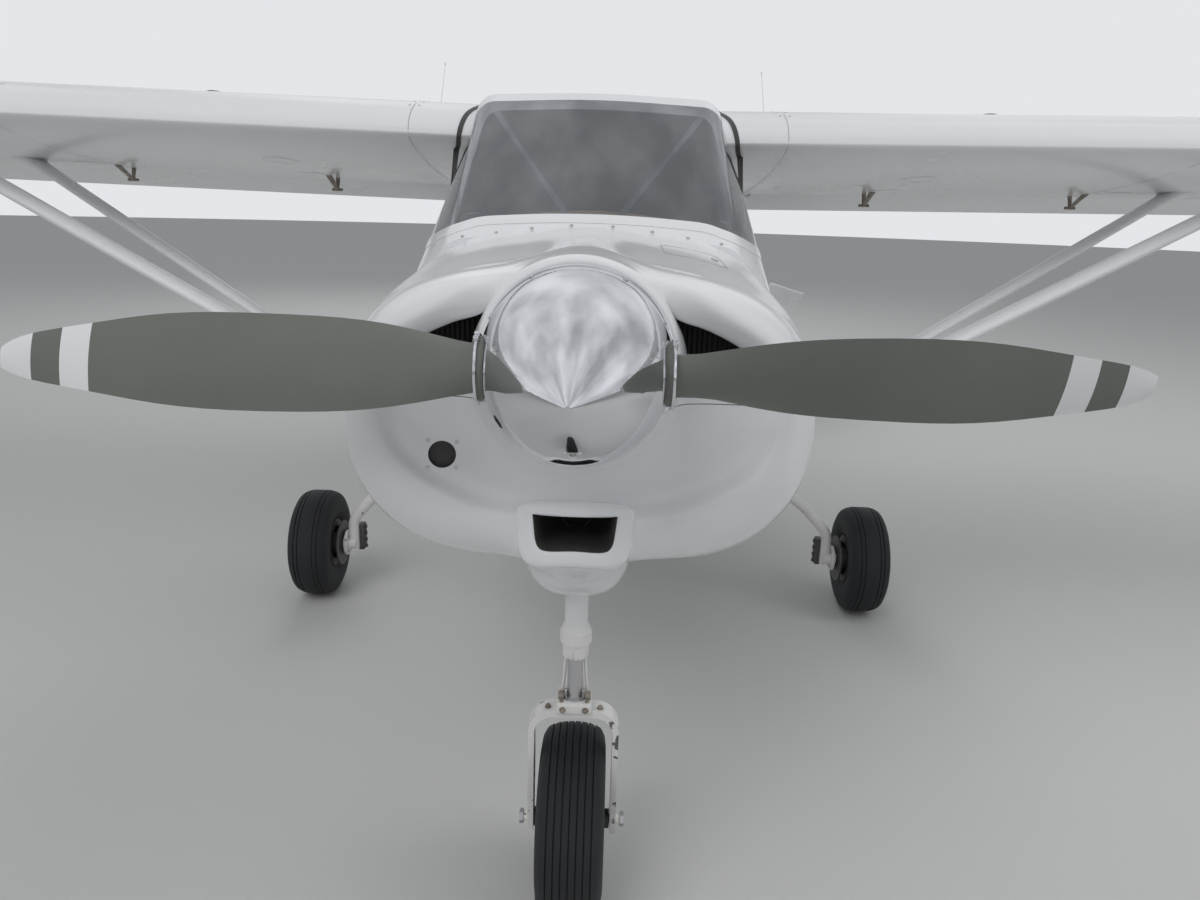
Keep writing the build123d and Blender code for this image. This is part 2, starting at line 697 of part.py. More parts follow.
def main_leg():
    path = FilletPolyline(*[(x, main_y, z) for x, z in leg_route], radius=leg_bends)
    plane = Plane(origin=path @ 0, z_dir=path % 0)
    leg = sweep(plane * Circle(leg_radius), path=path.wire()) - outside
    z = main_wheel_radius
    plate = rod((axle_plate_x, main_y, z), (axle_plate_x + axle_plate_thick, main_y, z), axle_plate_radius)
    boss = rod((leg_x - 12, main_y, z), (axle_plate_x, main_y, z), leg_radius + 8)
    arm_back_y = main_y + caliper[3] - 4
    arm = block(axle_plate_x, axle_plate_x + axle_plate_thick, main_y, arm_back_y, z - 28, z + 28)
    axle = rod((leg_x, main_y, z), (axle_end, main_y, z), axle_radius)
    return leg + boss + plate + arm + axle


def main_caliper():
    x0, x1, y0, y1, h = caliper
    z = main_wheel_radius
    slot_x0 = track_half + disc_x - disc_thick / 2 - caliper_slot
    slot_x1 = slot_x0 + disc_thick + 2 * caliper_slot
    slot = block(slot_x0, slot_x1, main_y, main_y + disc_radius + caliper_slot + 1, 0, 500)
    return block(x0, x1, main_y + y0, main_y + y1, z - h, z + h) - slot


leg = main_leg()
brake = main_caliper()
main_tyre = Pos(track_half, 0, 0) * tyre(main_wheel_radius, main_half, main_y, main_wheel_radius)
main_rim = Pos(track_half, 0, 0) * rim(main_half, axle_radius + shaft_gap, main_y, main_wheel_radius, True)
for side, place in (("left", lambda s: s), ("right", mirror_x)):
    save(f"main_leg_{side}", place(leg))
    save(f"main_brake_{side}", place(brake))
    save(f"main_tyre_{side}", place(main_tyre))
    save(f"main_wheel_{side}", place(main_rim))

# Nose leg: a fixed tube, and the fork that turns in it
fork_half = 105.0
fork_inner = 91.0
fork_top_z = 526.0
fork_arch_z = 508.0
fork_round = 58.0
fork_arch_round = 44.0
fork_width = 26.0
fork_foot_z = 198.0
tow_bore_radius = 8.0
piston_top_z = 950.0
collar_base_z = 690.0
collar_top_z = 717.0
collar_radius = 35.0
nose_tube = rod((0, nose_y, nose_tube_base_z), (0, nose_y, nose_tube_top_z), nose_tube_radius)
nose_tube = nose_tube + rod((0, nose_y, collar_base_z), (0, nose_y, collar_top_z), collar_radius)
nose_bore = rod((0, nose_y, nose_tube_base_z - 1), (0, nose_y, piston_top_z + 10), piston_radius + shaft_gap)
nose_tube = nose_tube - nose_bore
bearer = block(-30, 30, nose_y, firewall_y, nose_tube_top_z - 60, nose_tube_top_z)
bearer = bearer - rod((0, nose_y, 900), (0, nose_y, 1100), nose_tube_radius - 1)
save("nose_leg_tube", nose_tube + bearer)
arch = side_frame(-fork_half, fork_half, fork_foot_z, fork_top_z)
hollow = side_frame(-fork_inner, fork_inner, fork_foot_z - 60, fork_arch_z)
fork = front_panel(arch, (8, 8, fork_round, fork_round), nose_y - fork_width, nose_y + fork_width)
fork = fork - front_panel(hollow, (8, 8, fork_arch_round, fork_arch_round), nose_y - 100, nose_y + 100)
fork = fork + rod((0, nose_y, fork_top_z - 5), (0, nose_y, piston_top_z), piston_radius)
fork = fork + block(-38, 38, nose_y - 30, nose_y + 30, fork_top_z - 4, fork_top_z + 18)


def nose_axle(half, radius):
    return rod((-half, nose_y, nose_wheel_radius), (half, nose_y, nose_wheel_radius), radius)


fork = fork + nose_axle(fork_half + 10, nose_axle_radius) - nose_axle(200, tow_bore_radius)
save("nose_fork", fork)
save("nose_tyre", tyre(nose_wheel_radius, nose_half, nose_y, nose_wheel_radius))
save("nose_wheel", rim(nose_half, nose_axle_radius + shaft_gap, nose_y, nose_wheel_radius, False))

# Tail surfaces
tail_z = 890.0
tail_hinge_y = 3200.0
tail_back_y = 3530.0
horn_x = 1370.0
elevator_in_x = 92.0
elevator_roll = 23.0
elevator_droop = 24.0
tail_skin = 5.0
horn_round = 130.0
# half-span station, nose, thickness
TAILPLANE = [(0.0, 2700.0, 58.0), (horn_x + hinge_gap, 2773.0, 52.0)]
HORN = [(horn_x + hinge_gap, 2773.0, 52.0), (1705.0, 3016.0, 34.0)]
horn_end_x = 1702.0
horn_hollow_x = (1440.0, 1620.0)
bar_radius = 18.0


def flat_section(x, nose, thick, wall=0.0):
    plane = Plane(origin=(x, nose, tail_z), x_dir=(0, 1, 0), z_dir=(1, 0, 0))
    return aerofoil(plane, tail_back_y - nose, 0.3, thick / 2, thick / 2, 5, wall)


def tail_box(x0, x1, y0, y1):
    return block(x0, x1, y0, y1, 500, 1500)


tail_slab = loft([flat_section(*row) for row in TAILPLANE], ruled=True)
tail_hollow = loft([flat_section(*row, tail_skin) for row in TAILPLANE], ruled=True)
cove_depth = elevator_roll + hinge_gap


def hinge_bar(x0, x1, radius):
    """A round bar on the elevator's hinge line."""
    return rod((x0, tail_hinge_y, tail_z), (x1, tail_hinge_y, tail_z), radius)


cove = tail_box(-10, 2000, tail_hinge_y, 4000) + hinge_bar(-10, 2000, cove_depth)
tailplane = tail_slab - cove - tail_box(horn_x, 2000, 0, 4000)
plane_bay = tail_box(130, horn_x - rib_wall, 0, tail_hinge_y - cove_depth - 30)
tailplane = tailplane - (tail_hollow & plane_bay) - body_back
elevator_bay = tail_box(elevator_in_x + rib_wall, horn_x - rib_wall, tail_hinge_y + hollow_back, 4000)
elevator = tail_slab & tail_box(elevator_in_x, 2000, tail_hinge_y, 4000)
elevator = elevator - (tail_hollow & elevator_bay)
elevator = elevator + hinge_bar(elevator_in_x, horn_x + 40, elevator_roll)
horn_plan = FilletPolyline((horn_x, 2600), (horn_end_x, 2600), (horn_end_x, tail_back_y),
                           (horn_x, tail_back_y), radius=(1, 1, horn_round, 1), close=True)
horn = loft([flat_section(*row) for row in HORN], ruled=True)
horn = horn & extrude(Pos(0, 0, 500) * make_face(horn_plan), amount=1000)
horn_hollow = loft([flat_section(*row, tail_skin) for row in HORN], ruled=True)
elevator = elevator + (horn - (horn_hollow & tail_box(*horn_hollow_x, 0, 3400)))
for share in (0.12, 0.5, 0.88):
    centre = (elevator_in_x + share * (horn_x - elevator_in_x), tail_hinge_y, tail_z)
    reach = elevator_roll + 30
    tailplane, elevator = hang(tailplane, elevator, centre, (1, 0, 0), (0, -1, 0), elevator_roll, reach)
elevator_axis = Axis((0, tail_hinge_y, tail_z), (1, 0, 0))
whole = elevator + mirror_x(elevator) + hinge_bar(-elevator_in_x - 10, elevator_in_x + 10, bar_radius)
save("tailplane", tailplane, mirror_x(tailplane))
save("elevator", whole.rotate(elevator_axis, -elevator_droop))

fin_base_z = 1060.0
fin_top_z = 2380.0
rudder_base_z = 1230.0
rudder_roll = (29.0, 20.0)
rudder_hinge_y = 3215.0
# height, nose, back, thickness
FIN = [(fin_base_z, 2260.0, half_length, 100.0), (fin_top_z, 2960.0, 3500.0, 44.0)]


def fin_section(z, nose, back, thick, wall=0.0):
    plane = Plane(origin=(0, nose, z), x_dir=(0, 1, 0), z_dir=(0, 0, 1))
    return aerofoil(plane, back - nose, 0.3, thick / 2, thick / 2, 5, wall)


fin_slab = loft([fin_section(*row) for row in FIN], ruled=True)
fin_hollow = loft([fin_section(*row, tail_skin) for row in FIN], ruled=True)


def fin_box(y0, y1, z0, z1):
    return block(-200, 200, y0, y1, z0, z1)


fin_bay = fin_box(2650, rudder_hinge_y - 75, 1300, fin_top_z - 30)
fin_bay = fin_bay + fin_box(0, rudder_hinge_y - 75, 1400, fin_top_z - 30)


def rudder_cone(grow, z0, z1):
    """The rudder's round nose, which narrows upwards, cut between two heights."""
    height = fin_top_z - rudder_base_z
    low, high = (r + grow for r in rudder_roll)
    slope = (high - low) / height
    span = z1 - z0
    low_radius = low + (z0 - rudder_base_z) * slope
    high_radius = low + (z1 - rudder_base_z) * slope
    return Pos(0, rudder_hinge_y, z0) * Cone(low_radius, high_radius, span, align=FOOT)


cove = fin_box(rudder_hinge_y, 4000, 500, 3000) + rudder_cone(hinge_gap, 1000, fin_top_z + 10)
fin = fin_slab - (fin_hollow & fin_bay) - cove - body_back - fin_box(cone_end_y, 4000, 900, 1175)
rudder_bay = fin_box(rudder_hinge_y + hollow_back, 4000, rudder_base_z + rib_wall, fin_top_z - rib_wall)
rudder = fin_slab & fin_box(rudder_hinge_y, 4000, rudder_base_z, 3000)
rudder = rudder - (fin_hollow & rudder_bay)
rudder = rudder + rudder_cone(0, rudder_base_z, fin_top_z)
for share in (0.12, 0.85):
    z = rudder_base_z + share * (fin_top_z - rudder_base_z)
    nose = rudder_roll[0]
    fin, rudder = hang(fin, rudder, (0, rudder_hinge_y, z), (0, 0, 1), (0, -1, 0), nose, nose + 30)
save("fin", fin)
save("rudder", rudder)

# Tie-down eyes under the wings and the tail
tie_radius = 20.0
tie_bore = 8.0
tie_half = 5.0


def tie_down(x, y, z, top, carrier):
    """A plate with a bore along X, cut to what carries it."""
    plate = block(x - tie_half, x + tie_half, y - tie_radius, y + tie_radius, z, top)
    plate = plate + rod((x - tie_half, y, z), (x + tie_half, y, z), tie_radius)
    return plate - rod((x - 2 * tie_half, y, z), (x + 2 * tie_half, y, z), tie_bore) - carrier


wing_tie = tie_down(2620.0, -1390.0, 1772.0, 1830.0, wing_slab(wing_root_x, tip_cap_x))
save("tie_downs", wing_tie, mirror_x(wing_tie), tie_down(0.0, 2900.0, 812.0, 870.0, body_back))

# Inside the cabin
panel_y = -1990.0
panel_thick = 25.0
panel_top_z = 1500.0
panel_base_z = 1280.0
seat_x = 245.0
seat_half = 205.0
seat_front_y = -1560.0
seat_hip_y = -1120.0
seat_back_y = -1030.0
seat_base_z = 985.0
seat_top_z = 1085.0
seat_back_top_z = 1560.0
stick_radius = 9.0
grip_radius = 16.0
hood_half = 440.0
hood_side_z = 1555.0
hood_middle_z = 1628.0
hood_front_y = -2235.0
brace_radius = 13.0
brace_fit = 0.3
brace_low = (28.0, -2271.0, 1569.0)
brace_high = (335.0, -1688.0, 1940.0)
save("instrument_panel", inside & band(panel_y, panel_y + panel_thick, panel_base_z, panel_top_z))
sticks = []
for side, x in (("left", seat_x), ("right", -seat_x)):
    x0, x1 = x - seat_half, x + seat_half
    pan = block(x0, x1, seat_front_y, seat_hip_y, seat_base_z, seat_top_z)
    back = block(x0, x1, seat_hip_y, seat_back_y, seat_base_z, seat_back_top_z)
    base = block(x - 150, x + 150, seat_front_y + 60, seat_hip_y - 40, floor_z, seat_base_z)
    save(f"seat_{side}", pan + back)
    save(f"seat_base_{side}", base)
    foot, top, end = (x, -1720, floor_z), (x, -1660, 1130), (x, -1640, 1240)
    stick = rod(foot, top, stick_radius) & band(-1800, -1600, floor_z, 1300)
    sticks.append(stick + rod(top, end, grip_radius))
save("control_sticks", *sticks)
brace = rod(brace_high, brace_low, brace_radius) & inside
brace = brace - band(firewall_y - 10, firewall_y + firewall_thick, 0, 2500)
save("roof_brace", brace, mirror_x(brace))
# The glareshield is cut round the braces
brace_way = (Vector(*brace_high) - Vector(*brace_low)).normalized() * 60
brace_hole = rod(tuple(Vector(*brace_low) - brace_way), brace_high, brace_radius + brace_fit)
hood_arc = ThreePointArc((-hood_half, hood_side_z), (0, hood_middle_z), (hood_half, hood_side_z))
hood_rest = Polyline((hood_half, hood_side_z), (hood_half, panel_top_z),
                     (-hood_half, panel_top_z), (-hood_half, hood_side_z))
hood = inside & from_front([hood_arc, hood_rest], hood_front_y, panel_y + panel_thick + 12)
save("glareshield", hood - brace_hole - mirror_x(brace_hole))
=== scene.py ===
import json
import math

import bpy
from mathutils import Matrix, Vector


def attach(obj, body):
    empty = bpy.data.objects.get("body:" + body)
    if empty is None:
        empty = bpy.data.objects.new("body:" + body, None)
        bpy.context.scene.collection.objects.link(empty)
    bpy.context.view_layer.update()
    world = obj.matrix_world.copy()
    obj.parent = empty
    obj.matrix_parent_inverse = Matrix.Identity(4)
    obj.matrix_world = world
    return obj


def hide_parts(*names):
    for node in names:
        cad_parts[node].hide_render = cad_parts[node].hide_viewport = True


# A strut-braced high-wing bush plane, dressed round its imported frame.
# Metres. X is the span (the aircraft's left is +X), Y runs from nose to tail, Z is up.

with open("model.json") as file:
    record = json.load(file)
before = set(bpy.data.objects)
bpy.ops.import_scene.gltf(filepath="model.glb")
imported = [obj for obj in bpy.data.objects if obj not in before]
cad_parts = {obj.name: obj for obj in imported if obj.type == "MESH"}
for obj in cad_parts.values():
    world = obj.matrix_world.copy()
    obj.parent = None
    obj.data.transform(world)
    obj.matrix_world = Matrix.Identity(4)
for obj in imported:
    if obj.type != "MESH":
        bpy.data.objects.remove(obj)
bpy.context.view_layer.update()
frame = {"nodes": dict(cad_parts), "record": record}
nodes = frame["nodes"]

SIDES = (("left", 1), ("right", -1))
UP = Vector((0, 0, 1))
DOWN = Vector((0, 0, -1))
AFT = Vector((0, 1, 0))


# Camera: a hand-held picture from in front of the spinner, a little nose-down and tilted
eye = Vector((0.051, -4.72, 1.65))
eye_down = 15.29
eye_yaw = 0.29
eye_tilt = 1.75
lens_mm = 27.0
sensor_mm = 36.0


def put_in_scene(name, data):
    """A new object for a camera or a lamp."""
    thing = bpy.data.objects.new(name, data)
    bpy.context.scene.collection.objects.link(thing)
    return thing


def make_camera():
    data = bpy.data.cameras.new("eye")
    data.lens = lens_mm
    data.sensor_width = sensor_mm
    camera = put_in_scene("eye", data)
    turn = Matrix.Rotation(math.radians(eye_yaw), 4, "Z")
    turn = turn @ Matrix.Rotation(math.radians(90 - eye_down), 4, "X")
    turn = turn @ Matrix.Rotation(math.radians(eye_tilt), 4, "Z")
    camera.matrix_world = Matrix.Translation(eye) @ turn
    bpy.context.scene.camera = camera


# Shader trees
def feed(tree, node, sockets):
    """Set a node's sockets, and link those that are given another node's output."""
    for key, value in sockets.items():
        if isinstance(value, bpy.types.NodeSocket):
            tree.links.new(value, node.inputs[key])
        else:
            node.inputs[key].default_value = value


def add_node(tree, kind, sockets=None, **settings):
    node = tree.nodes.new(kind)
    for key, value in settings.items():
        setattr(node, key, value)
    feed(tree, node, sockets or {})
    return node


def reckon(tree, operation, *values):
    """The result of a maths node."""
    return add_node(tree, "ShaderNodeMath", dict(enumerate(values)), operation=operation).outputs[0]


def add_noise(tree, place, scale, **sockets):
    return add_node(tree, "ShaderNodeTexNoise", {"Vector": place, "Scale": scale, **sockets}).outputs["Fac"]


def blend(tree, share, first, second):
    """A colour between two, by share."""
    mix = add_node(tree, "ShaderNodeMix", {"Factor": share, 6: first, 7: second}, data_type="RGBA")
    return mix.outputs[2]


def add_ramp(tree, share, *stops):
    """A colour ramp with two (position, colour) stops."""
    ramp = add_node(tree, "ShaderNodeValToRGB", {"Fac": share})
    for i, (position, colour) in enumerate(stops):
        ramp.color_ramp.elements[i].position = position
        ramp.color_ramp.elements[i].color = (*colour, 1)
    return ramp.outputs["Color"]


def spread_out(tree, value, **limits):
    """A value stretched from one range to another, From and To with Min and Max."""
    sockets = {key.replace("_", " "): limit for key, limit in limits.items()}
    return add_node(tree, "ShaderNodeMapRange", {"Value": value, **sockets}).outputs[0]


def own_place(tree):
    return add_node(tree, "ShaderNodeTexCoord").outputs["Object"]


# Light and floor
floor_shade = (0.60, 0.60, 0.59)
sky_shade = (0.86, 0.88, 0.91)
sky_light = 0.42
sky_seen = 0.9
floor_reach = 60
# name, place, size across, watts, aim
LAMPS = [
    ("high_front", (-3.5, -8.0, 7.5), 5.0, 260, (0, -2, 1)),
    ("high_side", (7.0, -3.0, 7.0), 6.0, 240, (0, -1, 1)),
    ("high_back", (-2.0, 9.0, 8.0), 6.0, 260, (0, 0, 1)),
]


def make_world():
    """A soft even light, a plain pale sky behind, and clouds where a shiny surface mirrors it."""
    world = bpy.data.worlds.new("overcast")
    bpy.context.scene.world = world
    world.use_nodes = True
    tree = world.node_tree
    tree.nodes.clear()
    heading = add_node(tree, "ShaderNodeTexCoord").outputs["Generated"]
    clouds = add_noise(tree, heading, 2.2, Detail=4, Roughness=0.45)
    cover = spread_out(tree, clouds, From_Min=0.35, From_Max=0.68, To_Min=0.48, To_Max=1.0)
    path = add_node(tree, "ShaderNodeLightPath").outputs
    mirrored = path["Is Glossy Ray"]
    glow = reckon(tree, "MULTIPLY", cover, mirrored)
    plain = reckon(tree, "SUBTRACT", 1.0, mirrored)
    total = reckon(tree, "MULTIPLY_ADD", plain, sky_seen, glow)
    either = reckon(tree, "MAXIMUM", path["Is Camera Ray"], mirrored)
    lit = add_node(tree, "ShaderNodeBackground", {"Color": (*sky_shade, 1), "Strength": sky_light})
    seen = add_node(tree, "ShaderNodeBackground", {"Color": (*sky_shade, 1), "Strength": total})
    mix = add_node(tree, "ShaderNodeMixShader", {0: either, 1: lit.outputs[0], 2: seen.outputs[0]})
    add_node(tree, "ShaderNodeOutputWorld", {0: mix.outputs[0]})


def make_lamps():
    for name, place, across, watts, aim in LAMPS:
        data = bpy.data.lights.new(name, "AREA")
        data.size = across
        data.energy = watts
        lamp = put_in_scene(name, data)
        lamp.location = place
        lamp.visible_glossy = False
        lamp.rotation_euler = (Vector(aim) - Vector(place)).to_track_quat("-Z", "Y").to_euler()


def wipe_selection():
    bpy.ops.object.select_all(action="DESELECT")


def add_shape(operator, **values):
    """A new primitive, alone in the selection."""
    wipe_selection()
    operator(**values)
    return bpy.context.object


def new_material(name):
    paint = bpy.data.materials.new(name)
    paint.use_nodes = True
    return paint, paint.node_tree, paint.node_tree.nodes["Principled BSDF"]


def make_floor():
    floor = add_shape(bpy.ops.mesh.primitive_circle_add, vertices=96, radius=floor_reach, fill_type="NGON")
    floor.name = "apron"
    paint, tree, shader = new_material("apron_surface")
    feed(tree, shader, {"Base Color": (*floor_shade, 1), "Roughness": 0.85})
    floor.data.materials.append(paint)


# Materials
dust_shade = (0.45, 0.42, 0.37)
bump_strength = 0.4
bump_depth = 0.002


def make_group(name, inputs, outputs):
    """A node group with named inputs and outputs. A colour's value is a tuple, and a number's is not."""
    group = bpy.data.node_groups.new(name, "ShaderNodeTree")
    for key, value in inputs.items():
        kind = "NodeSocketColor" if isinstance(value, tuple) else "NodeSocketFloat"
        group.interface.new_socket(key, in_out="INPUT", socket_type=kind).default_value = value
    for key, kind in outputs.items():
        group.interface.new_socket(key, in_out="OUTPUT", socket_type=kind)
    return group, add_node(group, "NodeGroupInput").outputs


def make_wear_group():
    """Slow drift of colour and gloss, fine grain and a soft bump, read from the object's own place."""
    group, ins = make_group(
        "weathering",
        {"Colour": (0.8, 0.8, 0.8, 1), "Dust Colour": (*dust_shade, 1), "Drift": 0.05, "Dust": 0.1,
         "Roughness": 0.3, "Roughness Spread": 0.1, "Scale": 3.0, "Grain Scale": 180.0, "Grain Depth": 0.02},
        {"Colour": "NodeSocketColor", "Roughness": "NodeSocketFloat", "Height": "NodeSocketFloat"})
    place = own_place(group)
    slow = add_noise(group, place, ins["Scale"], Detail=6)
    fine = add_noise(group, place, ins["Grain Scale"], Detail=3)
    patches = spread_out(group, slow, From_Min=0.35, From_Max=0.75)
    dusty = reckon(group, "MULTIPLY", patches, ins["Dust"])
    shade = reckon(group, "MULTIPLY_ADD", slow, ins["Drift"], 1.0)
    tint = blend(group, dusty, ins["Colour"], ins["Dust Colour"])
    colour = add_node(group, "ShaderNodeHueSaturation", {"Value": shade, "Color": tint}).outputs["Color"]
    gloss = reckon(group, "MULTIPLY_ADD", patches, ins["Roughness Spread"], ins["Roughness"])
    height = reckon(group, "MULTIPLY", fine, ins["Grain Depth"])
    add_node(group, "NodeGroupOutput", {"Colour": colour, "Roughness": gloss, "Height": height})
    return group


def make_chips_group():
    """Paint broken away in patches, more where noise is high: a mask of what is bare."""
    group, ins = make_group("paint_chips", {"Scale": 40.0, "Patch Scale": 9.0, "Amount": 0.5},
                            {"Bare": "NodeSocketFloat"})
    place = own_place(group)
    fine = add_noise(group, place, ins["Scale"], Detail=8)
    patch = add_noise(group, place, ins["Patch Scale"])
    both = reckon(group, "MULTIPLY", fine, patch)
    add_node(group, "NodeGroupOutput", {"Bare": reckon(group, "GREATER_THAN", both, ins["Amount"])})
    return group


weathering = make_wear_group()
paint_chips = make_chips_group()


def weathered(name, colour, roughness, metallic=0.0, coat=0.0, drift=0.04, dust=0.06, spread=0.08, scale=3.0,
              grain=180.0, depth=0.02):
    """A finish that takes its colour, gloss and fine relief from the shared weathering."""
    paint, tree, shader = new_material(name)
    wear = add_node(tree, "ShaderNodeGroup", {
        "Colour": (*colour, 1), "Dust Colour": (*dust_shade, 1), "Drift": drift, "Dust": dust,
        "Roughness": roughness, "Roughness Spread": spread, "Scale": scale, "Grain Scale": grain,
        "Grain Depth": depth}, node_tree=weathering).outputs
    lift = add_node(tree, "ShaderNodeBump", {"Strength": bump_strength, "Distance": bump_depth,
                                             "Height": wear["Height"]})
    feed(tree, shader, {"Base Color": wear["Colour"], "Roughness": wear["Roughness"],
                        "Normal": lift.outputs["Normal"], "Metallic": metallic, "Coat Weight": coat,
                        "Coat Roughness": 0.06})
    return paint


def recolour(paint, pattern):
    """Feed a pattern into a weathered finish in place of its plain colour."""
    tree = paint.node_tree
    wear = next(node for node in tree.nodes if node.type == "GROUP" and node.node_tree == weathering)
    feed(tree, wear, {"Colour": pattern})
    return paint


def make_mesh_screen():
    """Fine black woven wire, drawn as pale wire round near-black gaps, whose dark is painted shade from the
    hollow behind the mesh.
    """
    paint = weathered("black_wire_mesh", (0.020, 0.020, 0.022), 0.6, drift=0.1, dust=0.1)
    tree = paint.node_tree
    weave = add_node(tree, "ShaderNodeTexVoronoi", {"Vector": own_place(tree), "Scale": 420},
                     feature="DISTANCE_TO_EDGE")
    return recolour(paint, add_ramp(tree, weave.outputs["Distance"], (0.02, (0.06, 0.06, 0.065)),
                                    (0.10, (0.006, 0.006, 0.007))))


def make_chipped_paint(name, colour, bare, amount, scale, patch):
    """White paint that shows dark metal where it has broken away."""
    paint = weathered(name, colour, 0.3, drift=0.06, dust=0.2, grain=220, depth=0.05, scale=8)
    tree = paint.node_tree
    chips = add_node(tree, "ShaderNodeGroup", {"Scale": scale, "Patch Scale": patch, "Amount": amount},
                     node_tree=paint_chips)
    return recolour(paint, blend(tree, chips.outputs["Bare"], (*colour, 1), (*bare, 1)))


def make_glass(name, colour, clear=1.0, haze=None):
    """Clear plastic that lets daylight through to what is behind it, with soft upright streaks of haze."""
    paint, tree, shader = new_material(name)
    feed(tree, shader, {"Base Color": (*colour, 1), "Roughness": 0.04, "Transmission Weight": clear,
                        "IOR": 1.4, "Coat Weight": 0.5, "Coat Roughness": 0.05})
    if haze:
        tall = add_node(tree, "ShaderNodeMapping", {"Vector": own_place(tree), "Scale": (5.0, 3.0, 0.7)})
        streaks = add_noise(tree, tall.outputs["Vector"], 1.6, Detail=3)
        feed(tree, shader, {"Base Color": add_ramp(tree, streaks, (0.38, colour), (0.66, haze))})
    path = add_node(tree, "ShaderNodeLightPath").outputs
    either = reckon(tree, "MAXIMUM", path["Is Shadow Ray"], path["Is Diffuse Ray"])
    feed(tree, shader, {"Alpha": reckon(tree, "MULTIPLY_ADD", either, -0.75, 1.0)})
    return paint


# Finish: material, colour, roughness, metallic, coat, drift, dust, gloss spread, scale, grain, grain depth
FINISHES = {
    "gelcoat": ("white_gelcoat", (0.83, 0.845, 0.86), 0.16, 0, 0.5, 0.02, 0.05, 0.08, 2.2, 60, 0.03),
    "paint": ("white_paint", (0.81, 0.825, 0.84), 0.22, 0, 0.4, 0.03, 0.07, 0.08, 2.6, 90, 0.03),
    "trim": ("cabin_trim", (0.42, 0.40, 0.37), 0.7, 0, 0, 0.1, 0.1, 0.08, 3, 400, 0.2),
    "tan": ("tan_trim", (0.50, 0.36, 0.22), 0.6, 0, 0, 0.1, 0.1, 0.08, 3, 500, 0.2),
    "black": ("black_metal", (0.03, 0.03, 0.032), 0.45, 0, 0, 0.2, 0.12, 0.08, 3, 300, 0.1),
    "steel": ("satin_steel", (0.55, 0.55, 0.56), 0.32, 1, 0, 0.1, 0.08, 0.08, 3, 260, 0.08),
    "grimy": ("oily_steel", (0.20, 0.17, 0.14), 0.55, 0.4, 0, 0.5, 0.5, 0.08, 40, 240, 0.2),
    "polished": ("polished_aluminium", (0.74, 0.75, 0.77), 0.05, 1, 0, 0.02, 0.02, 0.05, 3, 120, 0.01),
    "blade": ("grey_blade_paint", (0.16, 0.165, 0.15), 0.55, 0, 0, 0.12, 0.06, 0.08, 3, 500, 0.08),
    "rubber": ("tyre_rubber", (0.0075, 0.0088, 0.0110), 0.66, 0, 0, 0.25, 0.03, 0.08, 3, 350, 0.3),
    "alloy": ("wheel_alloy", (0.075, 0.075, 0.078), 0.45, 0.6, 0, 0.15, 0.2, 0.08, 3, 200, 0.1),
    "cloth": ("seat_cloth", (0.12, 0.115, 0.11), 0.9, 0, 0, 0.15, 0.1, 0.08, 3, 900, 0.5),
    # The duct finish is near-black: painted shade deep in the inlets and the scoop's mouth, and on the fins
    # there
    "duct_and_shade": ("duct_black_and_painted_shade", (0.012, 0.012, 0.014), 0.8, 0, 0, 0.2, 0.1, 0.08, 3, 200, 0.1),
    "dial": ("dial_face", (0.015, 0.015, 0.017), 0.35, 0, 0, 0.05, 0.02, 0.08, 3, 180, 0.02),
    "seam": ("seam_shadow", (0.30, 0.31, 0.32), 0.6, 0, 0, 0.2, 0.2, 0.08, 3, 180, 0.02),
}
MATERIALS = {finish: weathered(*row) for finish, row in FINISHES.items()}
MATERIALS["mesh"] = make_mesh_screen()
MATERIALS["chipped"] = make_chipped_paint("chipped_white_paint", (0.79, 0.79, 0.77), (0.10, 0.10, 0.11),
                                          0.345, 55.0, 14.0)
MATERIALS["nicked"] = make_chipped_paint("nicked_white_paint", (0.80, 0.80, 0.78), (0.14, 0.12, 0.10),
                                         0.400, 70.0, 16.0)
MATERIALS["glass"] = make_glass("tinted_acrylic", (0.34, 0.36, 0.39), 0.90, (0.52, 0.54, 0.57))
MATERIALS["red_lens"] = make_glass("red_lens", (0.75, 0.04, 0.03))
MATERIALS["green_lens"] = make_glass("green_lens", (0.03, 0.55, 0.25))

# The finish of a CAD node, by its slot, and those nodes that look different
SLOT_FINISH = {
    "white_paint": "paint", "white_gelcoat": "gelcoat", "tinted_acrylic": "glass", "tyre_rubber": "rubber",
    "polished_aluminium": "polished", "grey_blade": "blade", "dark_steel": "black", "satin_steel": "steel",
    "wheel_alloy": "alloy", "cabin_trim": "trim", "seat_cloth": "cloth", "black_metal": "black",
    "tan_trim": "tan",
}
NODE_FINISH = {
    "roof_brace": "steel", "nose_fork": "chipped", "main_leg_left": "nicked", "main_leg_right": "nicked",
    # engine_mount is black as painted shade, for the dark engine bay seen through the inlets
    "main_brake_left": "black", "main_brake_right": "black", "engine_mount": "black",
}


def dress_nodes():
    slots = {row["node"]: row["material_slot"] for row in frame["record"]["subparts"]}
    for name, thing in nodes.items():
        paint = MATERIALS[NODE_FINISH.get(name, SLOT_FINISH[slots[name]])]
        if not thing.material_slots:
            thing.data.materials.append(paint)
        for slot in thing.material_slots:
            slot.material = paint


# Modelling steps that repeat
def select_only(piece):
    wipe_selection()
    piece.select_set(True)
    bpy.context.view_layer.objects.active = piece


def end_edit():
    bpy.ops.object.mode_set(mode="OBJECT")


def resume_edit(kind="VERT"):
    bpy.ops.object.mode_set(mode="EDIT")
    bpy.ops.mesh.select_mode(type=kind)


def select_all(everything=True):
    bpy.ops.mesh.select_all(action="SELECT" if everything else "DESELECT")


def begin_edit(piece, everything=False):
    select_only(piece)
    resume_edit()
    select_all(everything)


